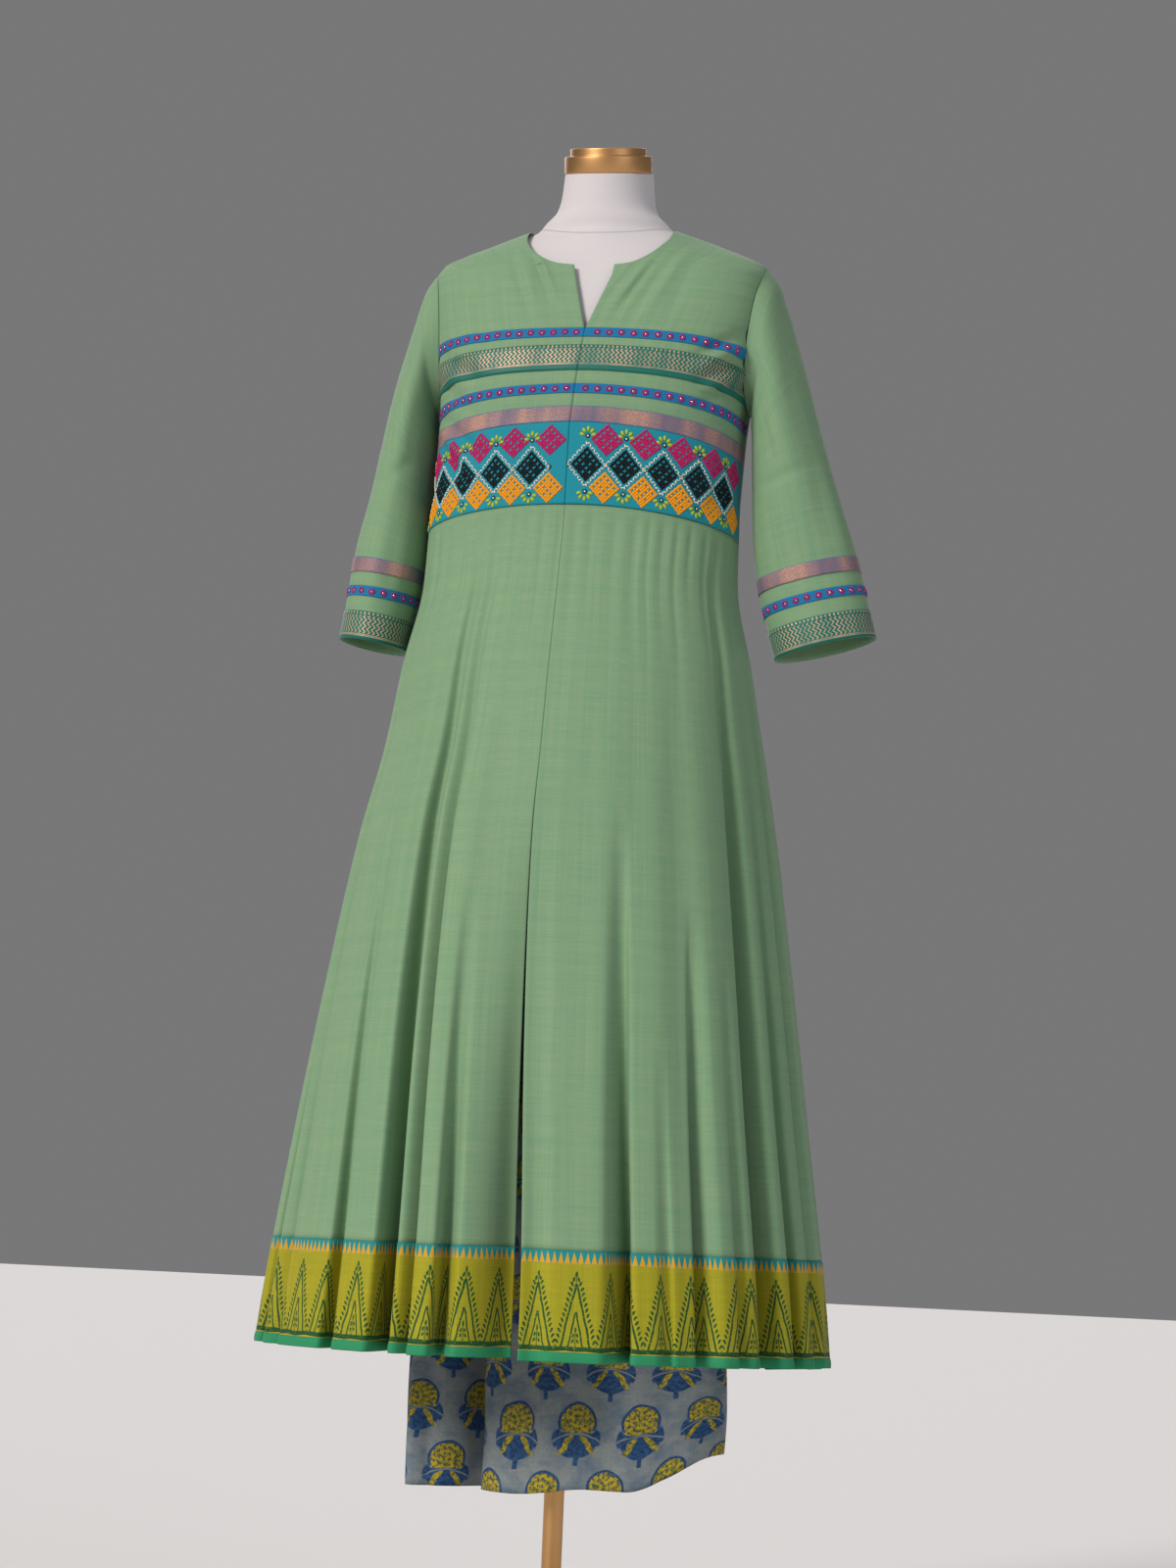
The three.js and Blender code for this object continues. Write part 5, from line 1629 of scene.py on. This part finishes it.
def stitched(name, parts, material, discs=False):
    """Parts are (cloth, stitches); a stitch is u, v, half length, half width, height and angle."""
    bm = bmesh.new()
    for cloth, stitches in parts:
        start = len(bm.verts)
        for u, v, long, wide, high, angle in stitches:
            at = Matrix.Translation((u, v, high * STITCH_LIFT)) @ Matrix.Rotation(angle, 4, "Z")
            at = at @ Matrix.Diagonal((long, wide, high, 1))
            if discs:
                round_edge = {"segments": DISC_SIDES, "radius1": DISC_UNDERSIDE, "radius2": 1.0, "depth": 1.0}
                bmesh.ops.create_cone(bm, cap_ends=True, matrix=at, **round_edge)
            else:
                bmesh.ops.create_icosphere(bm, subdivisions=1, radius=1, matrix=at)
        bm.verts.ensure_lookup_table()
        fresh = bm.verts[start:]
        flat = np.array([vert.co for vert in fresh])
        for vert, place in zip(fresh, cloth.place(flat[:, 0], flat[:, 1], flat[:, 2]) * MM):
            vert.co = place
    bmesh.ops.recalc_face_normals(bm, faces=bm.faces)
    mesh = bpy.data.meshes.new(name)
    bm.to_mesh(mesh)
    bm.free()
    item = add_object(name, mesh, material)
    return item


def ring_stitches(u, v, radius, count, long, wide, high, squash):
    """Stitches set like rays round a mirror; squash flattens the ring down the cloth."""
    rays = []
    for k in range(count):
        angle = 2 * math.pi * k / count
        across, down = radius * math.cos(angle), radius * squash * math.sin(angle)
        rays.append((u + across, v + down, long, wide, high, angle))
    return rays


print("ready to embroider")

# %% [markdown]
# ## Mirrors on the ribbons
# Mirror work holds a glass with no glue and no hole: a ring of stitches over its rim keeps it down. On the
# ribbons the rings are purple, one every 13 mm or so, and the row wanders a little as handwork does. A slow sine
# gives that wandering, and unlike a random number it is the same in every run.
# %% Ribbon mirrors
# How far apart the mirrors are on each ribbon.
RIBBON_MIRRORS = {
    "ribbon_upper_right": 13.4,
    "ribbon_upper_left": 12.8,
    "ribbon_lower_right": 13.2,
    "ribbon_lower_left": 12.8,
    "cuff_ribbon_right": 12.9,
    "cuff_ribbon_left": 12.9,
}
RIBBON_END, WANDER, WANDER_STEP, MIRROR_TURN = 3, 0.35, 2.3, 0.4
# A ring's radius and number of stitches, then each stitch's half length, half width and height, and the squash.
RIBBON_RING = (2.7, 13, 1.75, 0.85, 0.8, 0.9)
RIBBON_MIRROR = (1.7, 1.5, 0.9)
rings, discs = [], []
for node, pitch in RIBBON_MIRRORS.items():
    cloth = bands[node]
    low_u, high_u = cloth.u[:, 0].max(), cloth.u[:, -1].min()
    count = int((high_u - low_u - RIBBON_END) / pitch)
    middle = cloth.v.max() / 2
    around, flat = [], []
    for k in range(count):
        u = low_u + pitch * (k + 0.5) + (high_u - low_u - pitch * count) / 2
        v = middle + WANDER * math.sin(WANDER_STEP * k)
        around += ring_stitches(u, v, *RIBBON_RING)
        flat.append((u, v, *RIBBON_MIRROR, MIRROR_TURN * k))
    rings.append((cloth, around))
    discs.append((cloth, flat))
stitched("ribbon_mirror_rings", rings, PURPLE)
stitched("ribbon_mirrors", discs, MIRROR, discs=True)
print("ribbon mirrors:", sum(len(flat) for _, flat in discs))

# %% [markdown]
# ## The yoke's motifs
# The yoke is worked in three rows of diamonds: magenta, black and orange, with cream zigzags round the black
# ones, and small fans of green petals above and below them. A diamond is darned: short stitches lean left and
# right by turns along its threads, and regular gaps let the teal cotton show. Each motif is a short function that
# only lists its stitches, so it can be tried at any place on the cloth.
# %% Motifs
# A stitch's half length, half width and height, in millimetres.
DARNING, FRAME_STITCH, PETAL = (2.3, 1.6, 0.75), (2.35, 0.85, 0.8), (3.5, 2.1, 0.9)
DIAMOND_CELLS = 9
ZIGZAG_STEPS, ZIGZAG_LEAN = 9, 0.9
PETAL_SPREAD, PETAL_REACH, OUTER_PETAL_LESS = 38, 7.6, 0.5


def diamond(u, v, half_u, half_v):
    """A diamond filled with short stitches that leave a few small holes in each row."""
    stitches = []
    lean = math.atan2(half_v, half_u)
    for a in range(DIAMOND_CELLS):
        for b in range(DIAMOND_CELLS):
            if a % 4 == 1 and b % 2 == 1 or a % 4 == 3 and b % 4 == 1:
                continue
            across, down = (a - b) / DIAMOND_CELLS, (a + b + 1) / DIAMOND_CELLS - 1
            angle = lean if (a + b) % 2 else -lean
            stitches.append((u + across * half_u, v + down * half_v, *DARNING, angle))
    return stitches


def zigzag(u1, v1, u2, v2):
    """Stitches that lean left and right by turns along a line."""
    stitches = []
    line = math.atan2(v2 - v1, u2 - u1)
    for k in range(ZIGZAG_STEPS):
        t = (k + 0.5) / ZIGZAG_STEPS
        angle = line + (ZIGZAG_LEAN if k % 2 else -ZIGZAG_LEAN)
        stitches.append((u1 + (u2 - u1) * t, v1 + (v2 - v1) * t, *FRAME_STITCH, angle))
    return stitches


def fan(u, v, up):
    """Five petals spread above or below a dot."""
    petals = []
    for k in range(-2, 3):
        angle = math.radians(PETAL_SPREAD * k)
        reach = PETAL_REACH - OUTER_PETAL_LESS * abs(k)
        du, dv = math.sin(angle) * reach, -up * math.cos(angle) * reach
        petals.append((u + du, v + dv, *PETAL, math.atan2(dv, du)))
    return petals


print("stitches in a diamond:", len(diamond(0, 0, 18, 17)))

# %% [markdown]
# ## The yoke's lattice
# An embroiderer chalks a grid first and then fills it. The grid here has a diamond every 42 mm, with the black
# ones half a step beside the others. The two fronts were worked apart, so they don't quite match: the left one
# has its rows a few millimetres lower and starts at another place, and both are kept as they are. Every motif
# adds its stitches to the list of its thread.
# %% Lattice of the yoke
DIAMOND_PITCH = 42
# Heights of the three rows below the band's top edge.
ROWS = {"right": (17.8, 44.5, 68.5), "left": (19.5, 49.0, 71.5)}
# Distances of the first black diamond and the first pair from the centre seam.
FIRST_DIAMONDS = {"right": (21, 42), "left": (41, 20)}
# Half widths and half heights of the diamonds and of the frame round the black ones.
BLACK_DIAMOND, MAGENTA_DIAMOND, ORANGE_DIAMOND = (17.0, 18.5), (18.0, 17.0), (16.8, 17.0)
FRAME_HALF, FRAME_TALL = 21, 23.5
FAN_ABOVE, FAN_BELOW = -30, 29
# A diamond needs this much of the band beside its middle, or it is left out.
PAIR_ROOM, BLACK_ROOM = 15, 18
SIDE_RING, SIDE_MIRROR = (2.1, 9, 0.9, 0.6, 0.8, 1.0), (1.5, 1.5, 0.6)
FAN_RING, FAN_DOT = (1.9, 9, 0.9, 0.6, 0.8, 1.0), (1.3, 1.3, 0.9)


def black_motif(u, v, lists):
    """A black diamond with its cream frame, a mirror at each side, and a fan above and below."""
    lists["black"] += diamond(u, v, *BLACK_DIAMOND)
    for across in (-FRAME_HALF, FRAME_HALF):
        for down in (-FRAME_TALL, FRAME_TALL):
            lists["cream"] += zigzag(u + across, v, u, v + down)
        lists["ring"] += ring_stitches(u + across, v, *SIDE_RING)
        lists["glass"].append((u + across, v, *SIDE_MIRROR, 0))
    for up, fan_v in ((1, v + FAN_ABOVE), (-1, v + FAN_BELOW)):
        lists["leaf"] += fan(u, fan_v, up)
        lists["ring"] += ring_stitches(u, fan_v, *FAN_RING)
        lists["dot"].append((u, fan_v, *FAN_DOT, 0))


work = {key: [] for key in ("magenta", "black", "orange", "cream", "leaf", "dot", "ring", "glass")}
for side, mirror in SIDES.items():
    cloth = bands[f"yoke_band_{side}"]
    width = abs(cloth.u[:, 0]).max() if side == "left" else cloth.u[:, -1].max()
    lists = {key: [] for key in work}
    first_black, first_pair = FIRST_DIAMONDS[side]
    magenta_v, black_v, orange_v = ROWS[side]
    for k in range(int(width // DIAMOND_PITCH) + 1):
        black_u = mirror * (first_black + DIAMOND_PITCH * k)
        pair_u = mirror * (first_pair + DIAMOND_PITCH * k)
        if abs(pair_u) + PAIR_ROOM < width:
            lists["magenta"] += diamond(pair_u, magenta_v, *MAGENTA_DIAMOND)
            lists["orange"] += diamond(pair_u, orange_v, *ORANGE_DIAMOND)
        if abs(black_u) + BLACK_ROOM < width:
            black_motif(black_u, black_v, lists)
    for key in work:
        work[key].append((cloth, lists[key]))
print("stitches:", sum(len(part[1]) for parts in work.values() for part in parts))

# %% [markdown]
# ## Working the yoke
# Each thread's list becomes one mesh, so the yoke is eight pieces, one for each thread and use, and not
# thousands of them. That keeps the file quick to handle, and each piece still has one finish of its own.
# %% Embroidery
THREADS = {
    "magenta": ("embroidery_magenta", MAGENTA),
    "black": ("embroidery_black", BLACK),
    "orange": ("embroidery_orange", ORANGE),
    "cream": ("embroidery_cream", CREAM),
    "leaf": ("embroidery_leaves", LEAF),
    "dot": ("embroidery_dots", CREAM),
    "ring": ("embroidery_dot_rings", BLACK),
    "glass": ("embroidery_mirrors", MIRROR),
}
for key, (name, material) in THREADS.items():
    item = stitched(name, work[key], material, discs=key == "glass")
    print(name, len(item.data.polygons), "faces")

# %% [markdown]
# ## The floor
# The set is only a plain pale floor, wide enough that its far edge lies well behind the dress in any view. Matt
# floor paint scatters light evenly, and so it shows the soft shadow of the stand and no reflection.
# %% Floor
FLOOR_SIZE = 24.0
FLOOR_PAINT, _, _ = finish("pale matt floor paint", Roughness=0.9, Base_Color=srgb("#e9e7e5"))
bm = bmesh.new()
bmesh.ops.create_grid(bm, x_segments=4, y_segments=4, size=FLOOR_SIZE / 2)
mesh = bpy.data.meshes.new("studio_floor")
bm.to_mesh(mesh)
bm.free()
studio_floor = bpy.data.objects.new("studio_floor", mesh)
bpy.context.scene.collection.objects.link(studio_floor)
studio_floor.data.materials.append(FLOOR_PAINT)
print("floor:", FLOOR_SIZE, "m wide")

# %% [markdown]
# ## The lights
# A studio lights cloth with large soft boxes, so that folds shade gently and the weave still shows. A lamp near
# the floor would leave a bright pool on it. A Sun lamp with a wide angle shines evenly from one direction and
# still casts soft shadows. The key light comes from the upper left, a cooler fill from the right, a weak one from
# above, and one from behind that separates the shoulders from the background. A grey world fills in the rest.
# %% Lights


def soft_light(name, towards, strength, softness, colour="#ffffff"):
    """A wide soft lamp, so far away that it lights the dress and the floor evenly."""
    data = bpy.data.lights.new(name, "SUN")
    data.energy = strength
    data.angle = math.radians(softness)
    data.color = srgb(colour)[:3]
    light = bpy.data.objects.new(name, data)
    bpy.context.scene.collection.objects.link(light)
    light.rotation_mode = "QUATERNION"
    light.rotation_quaternion = Vector(towards).to_track_quat("-Z", "Y")


# Each lamp: the direction it shines in, its strength, how wide it is in degrees, and its colour.
soft_light("key", (0.56, 0.84, -0.5), 2.75, 22, "#fff8f2")
soft_light("fill", (-0.75, 0.65, -0.3), 0.42, 40, "#eef3ff")
soft_light("top", (-0.05, 0.1, -1.0), 0.3, 50)
soft_light("back", (0.3, -0.9, -0.42), 1.1, 50, "#f4f6ff")
SKY_STRENGTH = 0.27
world = bpy.data.worlds.new("studio air")
bpy.context.scene.world = world
world.use_nodes = True
world.node_tree.nodes["Background"].inputs[0].default_value = srgb("#d9d8da")
world.node_tree.nodes["Background"].inputs[1].default_value = SKY_STRENGTH
bpy.context.scene.view_settings.view_transform = "Standard"
print("lights:", len(bpy.data.lights))
